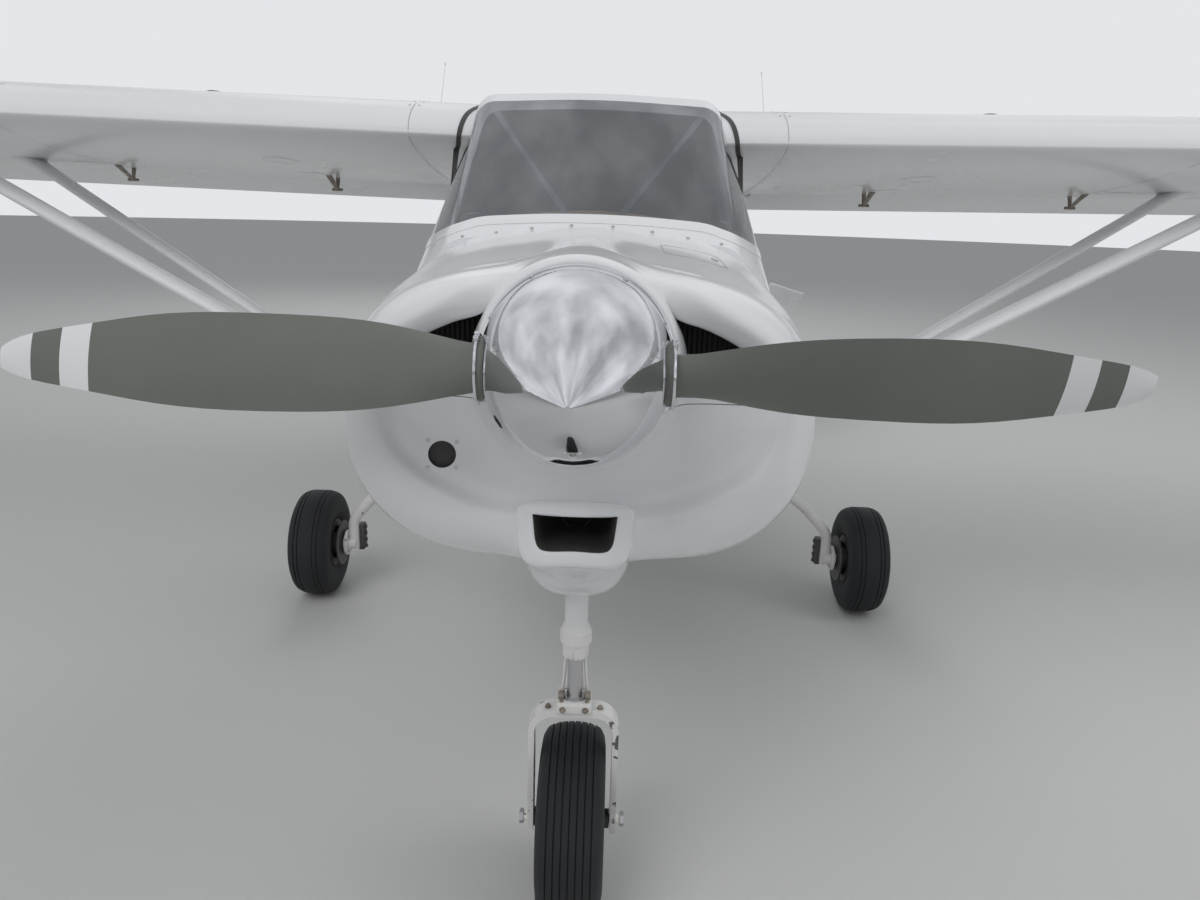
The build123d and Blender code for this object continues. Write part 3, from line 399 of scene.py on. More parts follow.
def pick(piece, wanted, kind="VERT"):
    """Select, from edit mode, the vertices or the faces that are wanted, and stay in edit mode."""
    bpy.ops.mesh.select_mode(type=kind)
    select_all(False)
    end_edit()
    if kind == "VERT":
        for vertex in piece.data.vertices:
            vertex.select = wanted(vertex.co)
    else:
        for face in piece.data.polygons:
            face.select = wanted(face)
    bpy.ops.object.mode_set(mode="EDIT")


def pick_box(piece, *limits):
    """Select the faces with their middles inside limits of x, y and z."""
    pick(piece, lambda face: all(a < place < b for place, (a, b) in zip(face.center, limits)), "FACE")


def chosen(piece):
    """The selected vertices, from edit mode. It ends in object mode."""
    end_edit()
    return [vertex for vertex in piece.data.vertices if vertex.select]


def extrude(x, y, z):
    bpy.ops.mesh.extrude_region_move(TRANSFORM_OT_translate={"value": (x, y, z)})


def add_modifier(piece, kind, **values):
    extra = piece.modifiers.new(kind.lower(), kind)
    for key, value in values.items():
        setattr(extra, key, value)
    return extra


def settle(piece, angle=None):
    """Apply every modifier, put the piece's place into its mesh and shade it smooth."""
    select_only(piece)
    for extra in list(piece.modifiers):
        if extra.type == "SUBSURF":
            extra.render_levels = extra.levels
        bpy.ops.object.modifier_apply(modifier=extra.name)
    bpy.ops.object.transform_apply(location=True, rotation=True, scale=True)
    bpy.ops.object.shade_smooth()
    if angle is not None:
        bpy.ops.object.shade_smooth_by_angle(angle=math.radians(angle))


def stand(piece, place, way, roll="Y"):
    """Move a mesh that was modelled at the origin to a place, with its Z along way."""
    turn = Vector(way).to_track_quat("Z", roll).to_matrix().to_4x4()
    piece.data.transform(Matrix.Translation(place) @ turn)


def copy_piece(piece):
    twin = piece.copy()
    twin.data = piece.data.copy()
    bpy.context.scene.collection.objects.link(twin)
    return twin


def finish_piece(piece, name, finish, body="root", stands_for=()):
    """Name a finished piece and say its finish, its body and the nodes it stands for."""
    piece.name = name
    piece.data.name = name
    if finish:
        piece.data.materials.clear()
        piece.data.materials.append(MATERIALS[finish])
    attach(piece, body)
    if stands_for:
        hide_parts(*stands_for)


def nearest_hit(names, start, way, reach):
    """The first point that a ray meets on any of these CAD nodes or pieces: (place, normal) or None."""
    start = Vector(start)
    best = None
    for name in names:
        target = nodes[name] if name in nodes else bpy.data.objects[name]
        hit, place, normal, _ = target.ray_cast(start, way, distance=reach)
        if hit and (best is None or (place - start).length < best[2]):
            best = (place, normal, (place - start).length)
    return best[:2] if best else None


def side_hit(names, side, y, z, reach=1.2):
    """Where a level line from the side meets a surface."""
    return nearest_hit(names, (side * 1.2, y, z), Vector((-side, 0, 0)), reach)


def ring_points(centre, reach, angles, normal=UP, lift=0.0):
    """Places round a centre in the plane across a normal."""
    turn = normal.to_track_quat("Z", "Y")
    return [centre + turn @ Vector((math.cos(a) * reach, math.sin(a) * reach, lift)) for a in angles]


# Cowl: rings round the propeller line, from the shaft hole over the dish and lip, and back to the firewall
prop_z = 1.385
firewall_y = -2.27
ring_count = 24
ring_degrees = 360 // ring_count
cowl_split_z = 1.30
split_gap = 0.0008
cowl_skin = 0.004
# Each row is one direction, in degrees round from straight up. It holds (distance from the propeller line,
# station) for the boss shoulder, boss foot, dish middle, dish edge, lip crest, lip outside and shoulder
LIP = {
    0: ((0.177, -3.176), (0.179, -3.150), (0.180, -3.120), (0.181, -3.090),
        (0.182, -3.060), (0.183, -3.030),
        (0.184, -2.995)),
    15: ((0.177, -3.176), (0.179, -3.150), (0.180, -3.122), (0.181, -3.094),
         (0.182, -3.065), (0.183, -3.034),
         (0.184, -2.998)),
    30: ((0.177, -3.176), (0.180, -3.156), (0.182, -3.136), (0.185, -3.113),
         (0.188, -3.086), (0.190, -3.052),
         (0.190, -3.010)),
    45: ((0.177, -3.176), (0.183, -3.163), (0.190, -3.153), (0.198, -3.140),
         (0.205, -3.118), (0.210, -3.083),
         (0.212, -3.030)),
    60: ((0.177, -3.172), (0.190, -3.160), (0.206, -3.160), (0.226, -3.154),
         (0.246, -3.138), (0.262, -3.100),
         (0.268, -3.040)),
    75: ((0.177, -3.170), (0.200, -3.120), (0.224, -3.128), (0.242, -3.142),
         (0.285, -3.150), (0.325, -3.115),
         (0.350, -3.050)),
    90: ((0.177, -3.170), (0.203, -3.105), (0.290, -3.098), (0.318, -3.115),
         (0.356, -3.134), (0.392, -3.105),
         (0.422, -3.045)),
    105: ((0.177, -3.170), (0.206, -3.100), (0.282, -3.088), (0.360, -3.098),
          (0.392, -3.122), (0.424, -3.100),
          (0.460, -3.045)),
    120: ((0.177, -3.170), (0.210, -3.099), (0.286, -3.086), (0.368, -3.098),
          (0.400, -3.122), (0.446, -3.102),
          (0.495, -3.045)),
    135: ((0.177, -3.170), (0.213, -3.099), (0.280, -3.086), (0.346, -3.096),
          (0.378, -3.120), (0.434, -3.103),
          (0.495, -3.045)),
    150: ((0.177, -3.170), (0.214, -3.099), (0.270, -3.086), (0.322, -3.094),
          (0.352, -3.116), (0.402, -3.106),
          (0.460, -3.050)),
    165: ((0.177, -3.170), (0.214, -3.099), (0.258, -3.088), (0.296, -3.092),
          (0.322, -3.112), (0.362, -3.112),
          (0.420, -3.060)),
    180: ((0.177, -3.170), (0.214, -3.099), (0.254, -3.088), (0.288, -3.092),
          (0.312, -3.110), (0.350, -3.114),
          (0.410, -3.062)),
}
BOSS = ((0.148, -3.176), (0.166, -3.185))
# The height of the flat deck over the propeller line, by station
DECK_HIGH = {-2.96: 0.184, -2.785: 0.186, -2.52: 0.188, firewall_y: 0.203}
cowl_stations = tuple(DECK_HIGH)
# The inlet's edge, by ring and direction: (half-width, station, height)
INLET_EDGE = {
    (3, 60): (0.158, -3.150, 1.470), (4, 60): (0.170, -3.152, 1.464), (4, 75): (0.202, -3.148, 1.452),
    (5, 75): (0.236, -3.142, 1.440), (5, 90): (0.300, -3.122, 1.404), (4, 90): (0.312, -3.110, 1.372),
    (4, 105): (0.285, -3.098, 1.340), (3, 105): (0.206, -3.100, 1.332), (3, 90): (0.196, -3.112, 1.372),
    (3, 75): (0.186, -3.130, 1.425),
}
INLET_CELLS = ((3, 60), (3, 75), (4, 75), (3, 90))
vent_place = (-0.254, 1.187)
vent_radius = 0.026
exhaust_place = (0.140, -2.740)
exhaust_hole = 0.027


def cowl_reach(angle, y):
    """How far the CAD cowl's outside is from the propeller line in one direction."""
    way = Vector((math.sin(angle), 0, math.cos(angle)))
    centre = Vector((0, y, prop_z))
    hit = nearest_hit(("cowl_upper", "cowl_lower"), centre + way * 2.0, -way, 2.0)
    return (hit[0] - centre).length if hit else 0.0


def cowl_target(ring, step):
    """Where the cowl's surface runs at one ring and step round it."""
    turn = step if step <= ring_count // 2 else ring_count - step
    side = 1 if step <= ring_count // 2 else -1
    degrees = turn * ring_degrees
    if (ring, degrees) in INLET_EDGE:
        x, y, z = INLET_EDGE[ring, degrees]
        return Vector((side * x, y, z))
    angle = math.radians(degrees)
    if ring < 2:
        reach, y = BOSS[ring]
    elif ring < 9:
        reach, y = LIP[degrees][ring - 2]
    else:
        y = cowl_stations[ring - 9]
        reach = cowl_reach(angle, min(y, firewall_y - 0.003))
        if degrees <= 30:
            reach = min(max(reach, DECK_HIGH[y]), DECK_HIGH[y] / math.cos(angle))
    return Vector((side * math.sin(angle) * reach, y, prop_z + math.cos(angle) * reach))


def fit_cage(piece, targets):
    """Move the cage until its smooth surface runs through the targets."""
    smooth = add_modifier(piece, "SUBSURF", levels=1)
    for _ in range(6):
        bpy.context.view_layer.update()
        made = piece.evaluated_get(bpy.context.evaluated_depsgraph_get())
        for vertex, target in zip(piece.data.vertices, targets):
            vertex.co += (target - made.data.vertices[vertex.index].co) * 0.9
        piece.data.update()
    piece.modifiers.remove(smooth)


def make_cowl():
    rings = 2 + 7 + len(cowl_stations)
    cowl = add_shape(bpy.ops.mesh.primitive_grid_add, x_subdivisions=rings - 1, y_subdivisions=ring_count,
                     size=2)
    for vertex in cowl.data.vertices:
        ring = round((vertex.co.x + 1) / 2 * (rings - 1))
        step = round((vertex.co.y + 1) / 2 * ring_count)
        vertex.co = cowl_target(ring, step % ring_count)
    begin_edit(cowl)
    pick(cowl, lambda co: abs(co.x) < 1e-6)
    bpy.ops.mesh.remove_doubles(threshold=1e-5)
    end_edit()
    targets = [vertex.co.copy() for vertex in cowl.data.vertices]
    # Open the two inlets
    middles = []
    for ring, degrees in INLET_CELLS:
        corners = [cowl_target(r, degrees // ring_degrees + s) for r in (ring, ring + 1) for s in (0, 1)]
        middles.append(sum(corners, Vector()) / 4)
    gone = set()
    for face in cowl.data.polygons:
        spot = Vector((abs(face.center.x), face.center.y, face.center.z))
        if any((spot - middle).length < 1e-4 for middle in middles):
            gone.add(face.index)
    begin_edit(cowl)
    pick(cowl, lambda face: face.index in gone, "FACE")
    bpy.ops.mesh.delete(type="ONLY_FACE")
    end_edit()
    fit_cage(cowl, targets)
    return cowl


def cut_round(piece, place, way, radius, depth):
    """Bore a round hole through a closed shell."""
    drill = add_shape(bpy.ops.mesh.primitive_cylinder_add, vertices=64, radius=radius, depth=depth)
    stand(drill, place, way)
    cut = add_modifier(piece, "BOOLEAN", operation="DIFFERENCE", object=drill, solver="EXACT")
    select_only(piece)
    bpy.ops.object.modifier_apply(modifier=cut.name)
    bpy.data.objects.remove(drill)


def shape_scoop(cowl):
    """Pull the scoop's bezel out of the lip, and sink its mouth into it."""
    low, high, mouth_low, mouth_high, bezel_y = 0.975, 1.10, 0.972, 1.116, -3.146
    begin_edit(cowl)
    pick_box(cowl, (-0.06, 0.06), (-9, -3.03), (0.96, 1.101))
    extrude(0, -0.03, 0)
    for vertex in chosen(cowl):
        co = vertex.co
        share = (co.z - low) / (high - low)
        co.y = bezel_y + 0.026 * share
        co.z = mouth_low + share * (mouth_high - mouth_low)
        if abs(co.x) > 0.01:
            co.x = math.copysign(0.103 + 0.017 * share, co.x)
    resume_edit("FACE")
    bpy.ops.mesh.inset(thickness=0.027, depth=0)
    bpy.ops.mesh.inset(thickness=0.007, depth=0)
    for back, shrinks in ((0.010, 0.97), (0.012, 0.97), (0.12, 0.94)):
        extrude(0, back, 0)
        bpy.ops.transform.resize(value=(shrinks, 1, shrinks))
    end_edit()


def shape_boot(cowl):
    """Draw the boot round the nose leg down from the belly."""
    begin_edit(cowl)
    pick_box(cowl, (-0.08, 0.08), (-2.94, -2.80), (-9, 1.0))
    for half, front, back, z in ((0.118, -2.978, -2.742, 0.905), (0.106, -2.968, -2.752, 0.868),
                                 (0.074, -2.940, -2.782, 0.840), (0.038, -2.902, -2.818, 0.829)):
        extrude(0, 0, -0.01)
        rows = chosen(cowl)
        middle = sum(vertex.co.y for vertex in rows) / len(rows)
        for vertex in rows:
            co = vertex.co
            co.y = front if co.y < middle else back
            co.z = z
            if abs(co.x) > 0.005:
                co.x = math.copysign(half, co.x)
        resume_edit("FACE")
    end_edit()


def roll_inlets(cowl):
    """Turn the inlets' edges back into the nose and run the ducts in."""
    begin_edit(cowl, True)
    bpy.ops.mesh.delete_loose(use_verts=True, use_edges=True, use_faces=False)
    select_all(False)
    end_edit()
    corners = cowl.data.vertices
    edge_use = {}
    for face in cowl.data.polygons:
        for key in face.edge_keys:
            edge_use[key] = edge_use.get(key, 0) + 1
    for vertex in corners:
        vertex.select = False
    for edge in cowl.data.edges:
        middle = (corners[edge.vertices[0]].co + corners[edge.vertices[1]].co) / 2
        reach = math.hypot(middle.x, middle.z - prop_z)
        edge.select = edge_use.get(edge.key, 0) == 1 and -3.2 < middle.y < -3.05 and 0.152 < reach < 0.36
        if edge.select:
            for i in edge.vertices:
                corners[i].select = True
    bpy.context.tool_settings.mesh_select_mode = (False, True, False)
    bpy.ops.object.mode_set(mode="EDIT")
    for back in (0.012, 0.020, 0.110):
        extrude(0, back, 0)
    end_edit()


def in_duct(face):
    """Whether a face lies inside the scoop's mouth or a cooling inlet, where it is painted near-black as the
    shade deep in the opening.
    """
    x, y, z = face.center
    steep = abs(face.normal.y)
    mouth = abs(x) < 0.096 and 0.99 < z < 1.096 and -3.145 < y < -2.95 and (steep < 0.5 or y > -3.05)
    inlet = -3.120 < y < -2.95 and math.hypot(x, z - prop_z) < 0.32 and 1.31 < z < 1.46 and steep < 0.6
    return mouth or inlet


def dress_cowl():
    """The cowl's two halves. It gives the place of the round vent."""
    cowl = make_cowl()
    roll_inlets(cowl)
    shape_scoop(cowl)
    shape_boot(cowl)
    cowl.data.materials.append(MATERIALS["gelcoat"])
    cowl.data.materials.append(MATERIALS["duct_and_shade"])
    # Faces deep in the inlets and the scoop's mouth take the near-black duct finish as painted shade
    for face in cowl.data.polygons:
        face.material_index = 1 if in_duct(face) else 0
    add_modifier(cowl, "SUBSURF", levels=3)
    add_modifier(cowl, "SOLIDIFY", thickness=cowl_skin, offset=-1)
    settle(cowl)
    begin_edit(cowl, True)
    bpy.ops.mesh.normals_make_consistent(inside=False)
    end_edit()
    halves = []
    for which, gap in (("upper", split_gap), ("lower", -split_gap)):
        half = copy_piece(cowl)
        begin_edit(half, True)
        bpy.ops.mesh.bisect(plane_co=(0, 0, cowl_split_z + gap), plane_no=(0, 0, 1), use_fill=True,
                            clear_inner=gap > 0, clear_outer=gap < 0)
        end_edit()
        finish_piece(half, f"cowl_{which}_skin", None, "root", (f"cowl_{which}",))
        halves.append(half)
    bpy.data.objects.remove(cowl)
    vent = nearest_hit(["cowl_lower_skin"], (vent_place[0], -3.6, vent_place[1]), AFT, 0.8)
    cut_round(halves[1], vent[0], vent[1], vent_radius, 0.05)
    cut_round(halves[1], Vector((*exhaust_place, 0.92)), UP, exhaust_hole, 0.25)
    for half in halves:
        select_only(half)
        bpy.ops.object.shade_smooth_by_angle(angle=math.radians(38))
    return vent


# Strips, screws, turned pieces and bars
def smooth_path(points, per_run, closed):
    """Points along a soft curve through the given ones."""
    points = [Vector(p) for p in points]
    count = len(points)
    path = []
    for i in range(count if closed else count - 1):
        b, c = points[i], points[(i + 1) % count]
        a = points[i - 1] if closed or i else b - (c - b)
        d = points[(i + 2) % count] if closed or i + 2 < count else c + (c - b)
        for step in range(per_run):
            t = step / per_run
            path.append(0.5 * ((2 * b) + (c - a) * t + (2 * a - 5 * b + 4 * c - d) * t * t
                               + (3 * b - a - 3 * c + d) * t ** 3))
    if not closed:
        path.append(points[-1])
    return path


def cast_row(on, spot, side, way, width, across, back, reach, lift, crown=0.0):
    """Places in a row across a band, thrown on a surface, or None where one of them misses it."""
    row = []
    for k in range(across + 1):
        share = k / across - 0.5
        found = nearest_hit(on, spot + side * width * share - way * back, way, reach)
        if found is None:
            return None
        row.append(found[0] + found[1] * (lift + crown * (1 - 4 * share * share)))
    return row


def grid_through(rows, loops):
    """A strip of faces through rows of places."""
    across = len(rows[0]) - 1
    strip = add_shape(bpy.ops.mesh.primitive_grid_add, x_subdivisions=loops - 1, y_subdivisions=across,
                      size=2)
    for vertex in strip.data.vertices:
        i = round((vertex.co.x + 1) / 2 * (loops - 1))
        k = round((vertex.co.y + 1) / 2 * across)
        vertex.co = rows[i % len(rows)][k]
    return strip


def lay_strip(name, on, points, aim, width, thick, finish, body="root", per_run=3, closed=True, across=2,
              crown=0.0):
    """A thin band that follows a line on a surface. aim is the way the line is looked at along."""
    path = smooth_path(points, per_run, closed)
    aim = Vector(aim)
    rows = []
    for i, spot in enumerate(path):
        if closed:
            along = path[(i + 1) % len(path)] - path[i - 1]
        else:
            along = path[min(i + 1, len(path) - 1)] - path[max(i - 1, 0)]
        side = along.cross(aim).normalized()
        rows.append(cast_row(on, spot, side, aim, width, across, 0.5, 1.2, 0.0002, crown))
    rows = [row for row in rows if row]
    strip = grid_through(rows, len(rows) + (1 if closed else 0))
    begin_edit(strip, True)
    if closed:
        bpy.ops.mesh.remove_doubles(threshold=1e-6)
    if sum((face.normal.dot(aim) for face in strip.data.polygons), 0.0) > 0:
        bpy.ops.mesh.flip_normals()
    end_edit()
    add_modifier(strip, "SOLIDIFY", thickness=thick, offset=1)
    settle(strip, 35)
    finish_piece(strip, name, finish, body)


def model_screw(radius, proud):
    """A round head with a pressed recess."""
    screw = add_shape(bpy.ops.mesh.primitive_cylinder_add, vertices=12, radius=radius, depth=proud,
                      location=(0, 0, proud / 2))
    begin_edit(screw)
    pick(screw, lambda face: face.normal.z > 0.9, "FACE")
    bpy.ops.mesh.inset(thickness=radius * 0.22, depth=proud * 0.35)
    bpy.ops.mesh.inset(thickness=radius * 0.38, depth=0)
    bpy.ops.mesh.inset(thickness=radius * 0.08, depth=-proud * 0.6)
    pick(screw, lambda face: face.normal.z < -0.9, "FACE")
    bpy.ops.mesh.delete(type="FACE")
    end_edit()
    return screw


def model_bolt(radius, proud):
    """A hexagon head on its washer."""
    head = add_shape(bpy.ops.mesh.primitive_cylinder_add, vertices=6, radius=radius, depth=proud,
                     location=(0, 0, proud * 0.7))
    add_modifier(head, "BEVEL", width=radius * 0.12, segments=2)
    settle(head)
    add_shape(bpy.ops.mesh.primitive_cylinder_add, vertices=20, radius=radius * 1.35, depth=proud * 0.25,
              location=(0, 0, proud * 0.125))
    head.select_set(True)
    bpy.context.view_layer.objects.active = head
    bpy.ops.object.join()
    return head


def set_screws(name, places, radius, proud, finish="steel", body="root", model=model_screw):
    """One screw is modelled, and a copy of it is turned into each (place, normal) that a ray has met."""
    first = model(radius, proud)
    copies = []
    for place, normal in filter(None, places):
        one = copy_piece(first)
        stand(one, place, normal)
        copies.append(one)
    bpy.data.objects.remove(first)
    wipe_selection()
    for one in copies:
        one.select_set(True)
    bpy.context.view_layer.objects.active = copies[0]
    bpy.ops.object.join()
    settle(copies[0], 40)
    finish_piece(copies[0], name, finish, body)


def lathe(name, outline, centre, axis, finish, body="root", steps=64, slot=None, angle=35, stands_for=()):
    """Spin (distance from the axis, place along the axis) points round an axis through centre."""
    piece = add_shape(bpy.ops.mesh.primitive_plane_add, size=1)
    begin_edit(piece)
    pick(piece, lambda co: co.x > 0 or co.y > 0)
    bpy.ops.mesh.delete(type="VERT")
    pick(piece, lambda co: True)
    for _ in outline[1:]:
        extrude(0.01, 0, 0)
    end_edit()
    # The chain of vertices takes the outline's places
    order = sorted(piece.data.vertices, key=lambda vertex: vertex.co.x)
    for vertex, (reach, along) in zip(order, outline):
        vertex.co = (reach, 0, along)
    bpy.ops.object.mode_set(mode="EDIT")
    select_all()
    bpy.ops.mesh.spin(steps=steps, angle=math.tau, center=(0, 0, 0), axis=(0, 0, 1))
    select_all()
    bpy.ops.mesh.remove_doubles(threshold=1e-6)
    bpy.ops.mesh.normals_make_consistent(inside=False)
    end_edit()
    stand(piece, centre, Vector(axis).normalized())
    settle(piece, angle)
    finish_piece(piece, name, finish, body, stands_for)
    return piece


def bar_between(name, start, end, radius, finish, body="root", sides=16, taper=1.0, flat=1.0):
    """A round or oval bar between two points."""
    start, end = Vector(start), Vector(end)
    bar = add_shape(bpy.ops.mesh.primitive_cylinder_add, vertices=sides, radius=radius,
                    depth=(end - start).length)
    begin_edit(bar)
    pick(bar, lambda co: co.z > 0)
    bpy.ops.transform.resize(value=(taper, taper, 1))
    select_all()
    bpy.ops.transform.resize(value=(flat, 1, 1))
    end_edit()
    add_modifier(bar, "BEVEL", width=radius * 0.2, segments=2, limit_method="ANGLE")
    settle(bar)
    stand(bar, (start + end) / 2, end - start, "X")
    settle(bar, 40)
    finish_piece(bar, name, finish, body)


def raise_block(name, centre, size, wanted, field, lift, edge, finish, body="root"):
    """A block with a raised field on the faces that are wanted, and soft edges."""
    block = add_shape(bpy.ops.mesh.primitive_cube_add, size=1, location=centre)
    begin_edit(block, True)
    bpy.ops.transform.resize(value=size)
    pick(block, wanted, "FACE")
    bpy.ops.mesh.inset(thickness=field, depth=lift)
    end_edit()
    add_modifier(block, "BEVEL", width=edge, segments=3)
    settle(block, 40)
    finish_piece(block, name, finish, body)


def round_corners(a0, a1, b0, b1, turn, high_cut=0.0, low_cut=0.0):
    """Points round a rectangle with round corners, from their centres. The cuts draw the two at a1 in."""
    points = []
    for a, b, start in ((a1, b1 - high_cut, 0), (a0, b1, 90), (a0, b0, 180), (a1, b0 + low_cut, 270)):
        for step in range(4):
            angle = math.radians(start + step * 30)
            points.append((a + math.cos(angle) * turn, b + math.sin(angle) * turn))
    return points


# Propeller: shank plates, spinner screws and backplate bead
blade_tip_x = 0.946
blade_grey = (0.135, 0.145, 0.128)
band_white = (0.74, 0.75, 0.76)
# Where each shade of the blade starts, out from the shaft
BLADE_BANDS = ((0.793, band_white), (0.842, blade_grey), (0.887, band_white))
prop_y = -3.27
spinner_base_y = -3.205
shank_x = 0.1590
plate_radius = 0.0575


def make_blade_paint():
    """Grey paint with two white bands, by the distance out along the blade."""
    paint = weathered("banded_blade_paint", blade_grey, 0.5, drift=0.16, dust=0.05, grain=500, depth=0.06,
                      scale=5)
    tree = paint.node_tree
    parts = add_node(tree, "ShaderNodeSeparateXYZ", {0: own_place(tree)})
    out = reckon(tree, "ABSOLUTE", parts.outputs["X"])
    bands = add_node(tree, "ShaderNodeValToRGB", {"Fac": reckon(tree, "DIVIDE", out, blade_tip_x)})
    ramp = bands.color_ramp
    ramp.interpolation = "CONSTANT"
    ramp.elements[0].color = (*blade_grey, 1)
    ramp.elements[1].position = BLADE_BANDS[0][0] / blade_tip_x
    ramp.elements[1].color = (*BLADE_BANDS[0][1], 1)
    for start, shade in BLADE_BANDS[1:]:
        ramp.elements.new(start / blade_tip_x).color = (*shade, 1)
    return recolour(paint, bands.outputs["Color"])


def dress_propeller():
    for slot in nodes["propeller_blades"].material_slots:
        slot.material = make_blade_paint()
    for side, way in SIDES:
        shank = (way * shank_x, prop_y, prop_z)
        lathe(f"shank_cuff_{side}", ((0.030, -0.024), (0.0530, -0.024), (0.0530, -0.0028), (0.030, -0.0028)),
              shank, (way, 0, 0), "blade", "propeller", angle=30)
        lathe(f"shank_plate_{side}", ((0.036, -0.0030), (0.0565, -0.0030), (0.0580, -0.0018),
                                      (0.0580, 0.0012), (0.0565, 0.0022), (0.036, 0.0022)),
              shank, (way, 0, 0), "polished", "propeller")
    places = []
    for turn in (-62, -28, 28, 62, 118, 152, 208, 242):
        angle = math.radians(turn)
        way = Vector((math.sin(angle), 0, math.cos(angle)))
        start = Vector((0, spinner_base_y - 0.018, prop_z)) + way * 0.3
        places.append(nearest_hit(["spinner"], start, -way, 0.3))
    for side in (-1, 1):
        places += [(Vector((side * (shank_x + 0.003), y, prop_z + high)), Vector((side, 0, 0)))
                   for high in (0.047, -0.047) for y in (prop_y - 0.012, prop_y + 0.012)]
    bolts = []
    for way in (-1, 1):
        for turn in (62, 76, -66, -80):
            out = Vector((0, -math.cos(math.radians(turn)), math.sin(math.radians(turn))))
            bolts.append((Vector((way * shank_x, prop_y, prop_z)) + out * plate_radius, out))
    set_screws("shank_bolts", bolts, 0.0045, 0.0045, "polished", "propeller")
    set_screws("spinner_screws", places, 0.0045, 0.002, "steel", "propeller")
    lathe("backplate_bead", ((0.158, 0.0), (0.1665, 0.0), (0.1685, 0.002), (0.1685, 0.006), (0.1665, 0.008),
                             (0.158, 0.008)), (0, spinner_base_y, prop_z), AFT, "polished", "propeller", 96)


# Deck under the windscreen
def screen_base_z(x):
    """The height of the windscreen's base as the front view shows it."""
    if abs(x) < 0.3:
        return 1.607 - (x / 0.30) ** 2 * 0.015
    return 1.592 - (abs(x) - 0.3) / 0.2 * 0.050 - ((abs(x) - 0.3) / 0.2) ** 2 * 0.030


def dress_deck():
    """The white strip under the windscreen, and the screws behind the cowl's edge."""
    half = (0.492, 0.45, 0.40, 0.35, 0.30, 0.22, 0.11)
    base = [(x, -2.0, screen_base_z(x) + 0.003) for x in (*(-x for x in half), 0.0, *reversed(half))]
    lay_strip("deck_strip", ["cabin_shell", "windscreen"], base, AFT, 0.022, 0.0016, "gelcoat", per_run=5,
              closed=False, across=6, crown=0.0012)
    places = [nearest_hit(["cabin_shell"], (x, firewall_y + 0.007, 2.4), DOWN, 2)
              for x in (-0.43, -0.345, -0.255, -0.16, -0.055, 0.055, 0.16, 0.255, 0.345, 0.43)]
    for side in (-1, 1):
        places += [side_hit(["cabin_shell"], side, -2.255, z) for z in (1.38, 1.27, 1.15, 1.03, 0.93)]
    set_screws("cowl_edge_screws", places, 0.0048, 0.0016)


# Landing gear
nose_y = -2.86
hub_z = 0.222
main_y = -1.12
track_half = 1.15
tyre_radius = 0.222
axle_flange_x = 1.0255
bead_radius = 0.0805
flange_radius = 0.0985
groove_half = 0.0015
groove_deep = 0.0048
# A groove across the tread: (half-widths out from its middle, depth)
GROOVE = ((-1.8, 0), (-1, 0.0006), (-0.6, groove_deep), (0.6, groove_deep), (1, 0.0006), (1.8, 0))


def tyre_outline(half, grooves):
    """A tyre's section from bead to bead, with round shoulders and straight grooves round the tread."""
    bead = half - 0.018
    shoulder = half - 0.010
    wall = [(bead_radius, -bead), (flange_radius, -bead), (flange_radius + 0.006, -bead - 0.006),
            (flange_radius + 0.024, -half + 0.004)]
    for share, reach in ((0.30, half), (0.55, half + 0.0005), (0.74, half - 0.003), (0.86, half - 0.011)):
        wall.append((flange_radius + (tyre_radius - flange_radius) * share, -reach))

    def crown(x):
        return tyre_radius - 0.016 * (abs(x) / shoulder) ** 2.6

    tread = [(crown(x), x) for x in (-shoulder + 0.006, -shoulder + 0.012)]
    for middle in grooves:
        tread += [(crown(middle) - deep, middle + groove_half * wide) for wide, deep in GROOVE]
    tread += [(crown(x), x) for x in (shoulder - 0.012, shoulder - 0.006)]
    return wall + tread + [(reach, -x) for reach, x in reversed(wall)]


def dress_main_wheel(side, way):
    """The tread, hub cap, rim bolts and axle flange of one main wheel."""
    wheel = f"main_wheel_{side}"
    axis = Vector((way, 0, 0))
    lathe(f"main_tyre_tread_{side}", tyre_outline(0.080, (-0.046, -0.030, 0.030, 0.046)),
          (way * track_half, main_y, hub_z), (1, 0, 0), "rubber", wheel, 96, angle=40,
          stands_for=(f"main_tyre_{side}",))
    lathe(f"hub_cap_{side}", ((0.0, 0.034), (0.016, 0.033), (0.030, 0.029), (0.038, 0.020), (0.041, 0.006),
                              (0.043, 0.0)),
          (way * (track_half + 0.066), main_y, hub_z), axis, "alloy", wheel, 48)
    bolts = []
    for turn in range(6):
        angle = turn * math.tau / 6
        y, z = main_y + math.cos(angle) * 0.051, hub_z + math.sin(angle) * 0.051
        bolts.append((Vector((way * (track_half + 0.0125), y, z)), axis))
    set_screws(f"rim_bolts_{side}", bolts, 0.0055, 0.006, "steel", wheel, model=model_bolt)
    lathe(f"axle_flange_{side}", ((0.020, 0.0), (0.050, 0.0), (0.0535, 0.003), (0.0535, 0.008),
                                  (0.050, 0.0115), (0.030, 0.0125), (0.020, 0.0125)),
          (way * axle_flange_x, main_y, hub_z), axis, "chipped", steps=48)
    places = [(way * axle_flange_x, main_y + math.cos(a) * 0.041, hub_z + math.sin(a) * 0.041)
              for a in (0.8, 2.3, 3.9, 5.4)]
    places += [(way * 1.038, main_y + y, hub_z + z) for y in (0.078, 0.092) for z in (-0.02, 0.02)]
    bolts = [(Vector(place), -axis) for place in places]
    set_screws(f"axle_bolts_{side}", bolts, 0.005, 0.005, model=model_bolt)


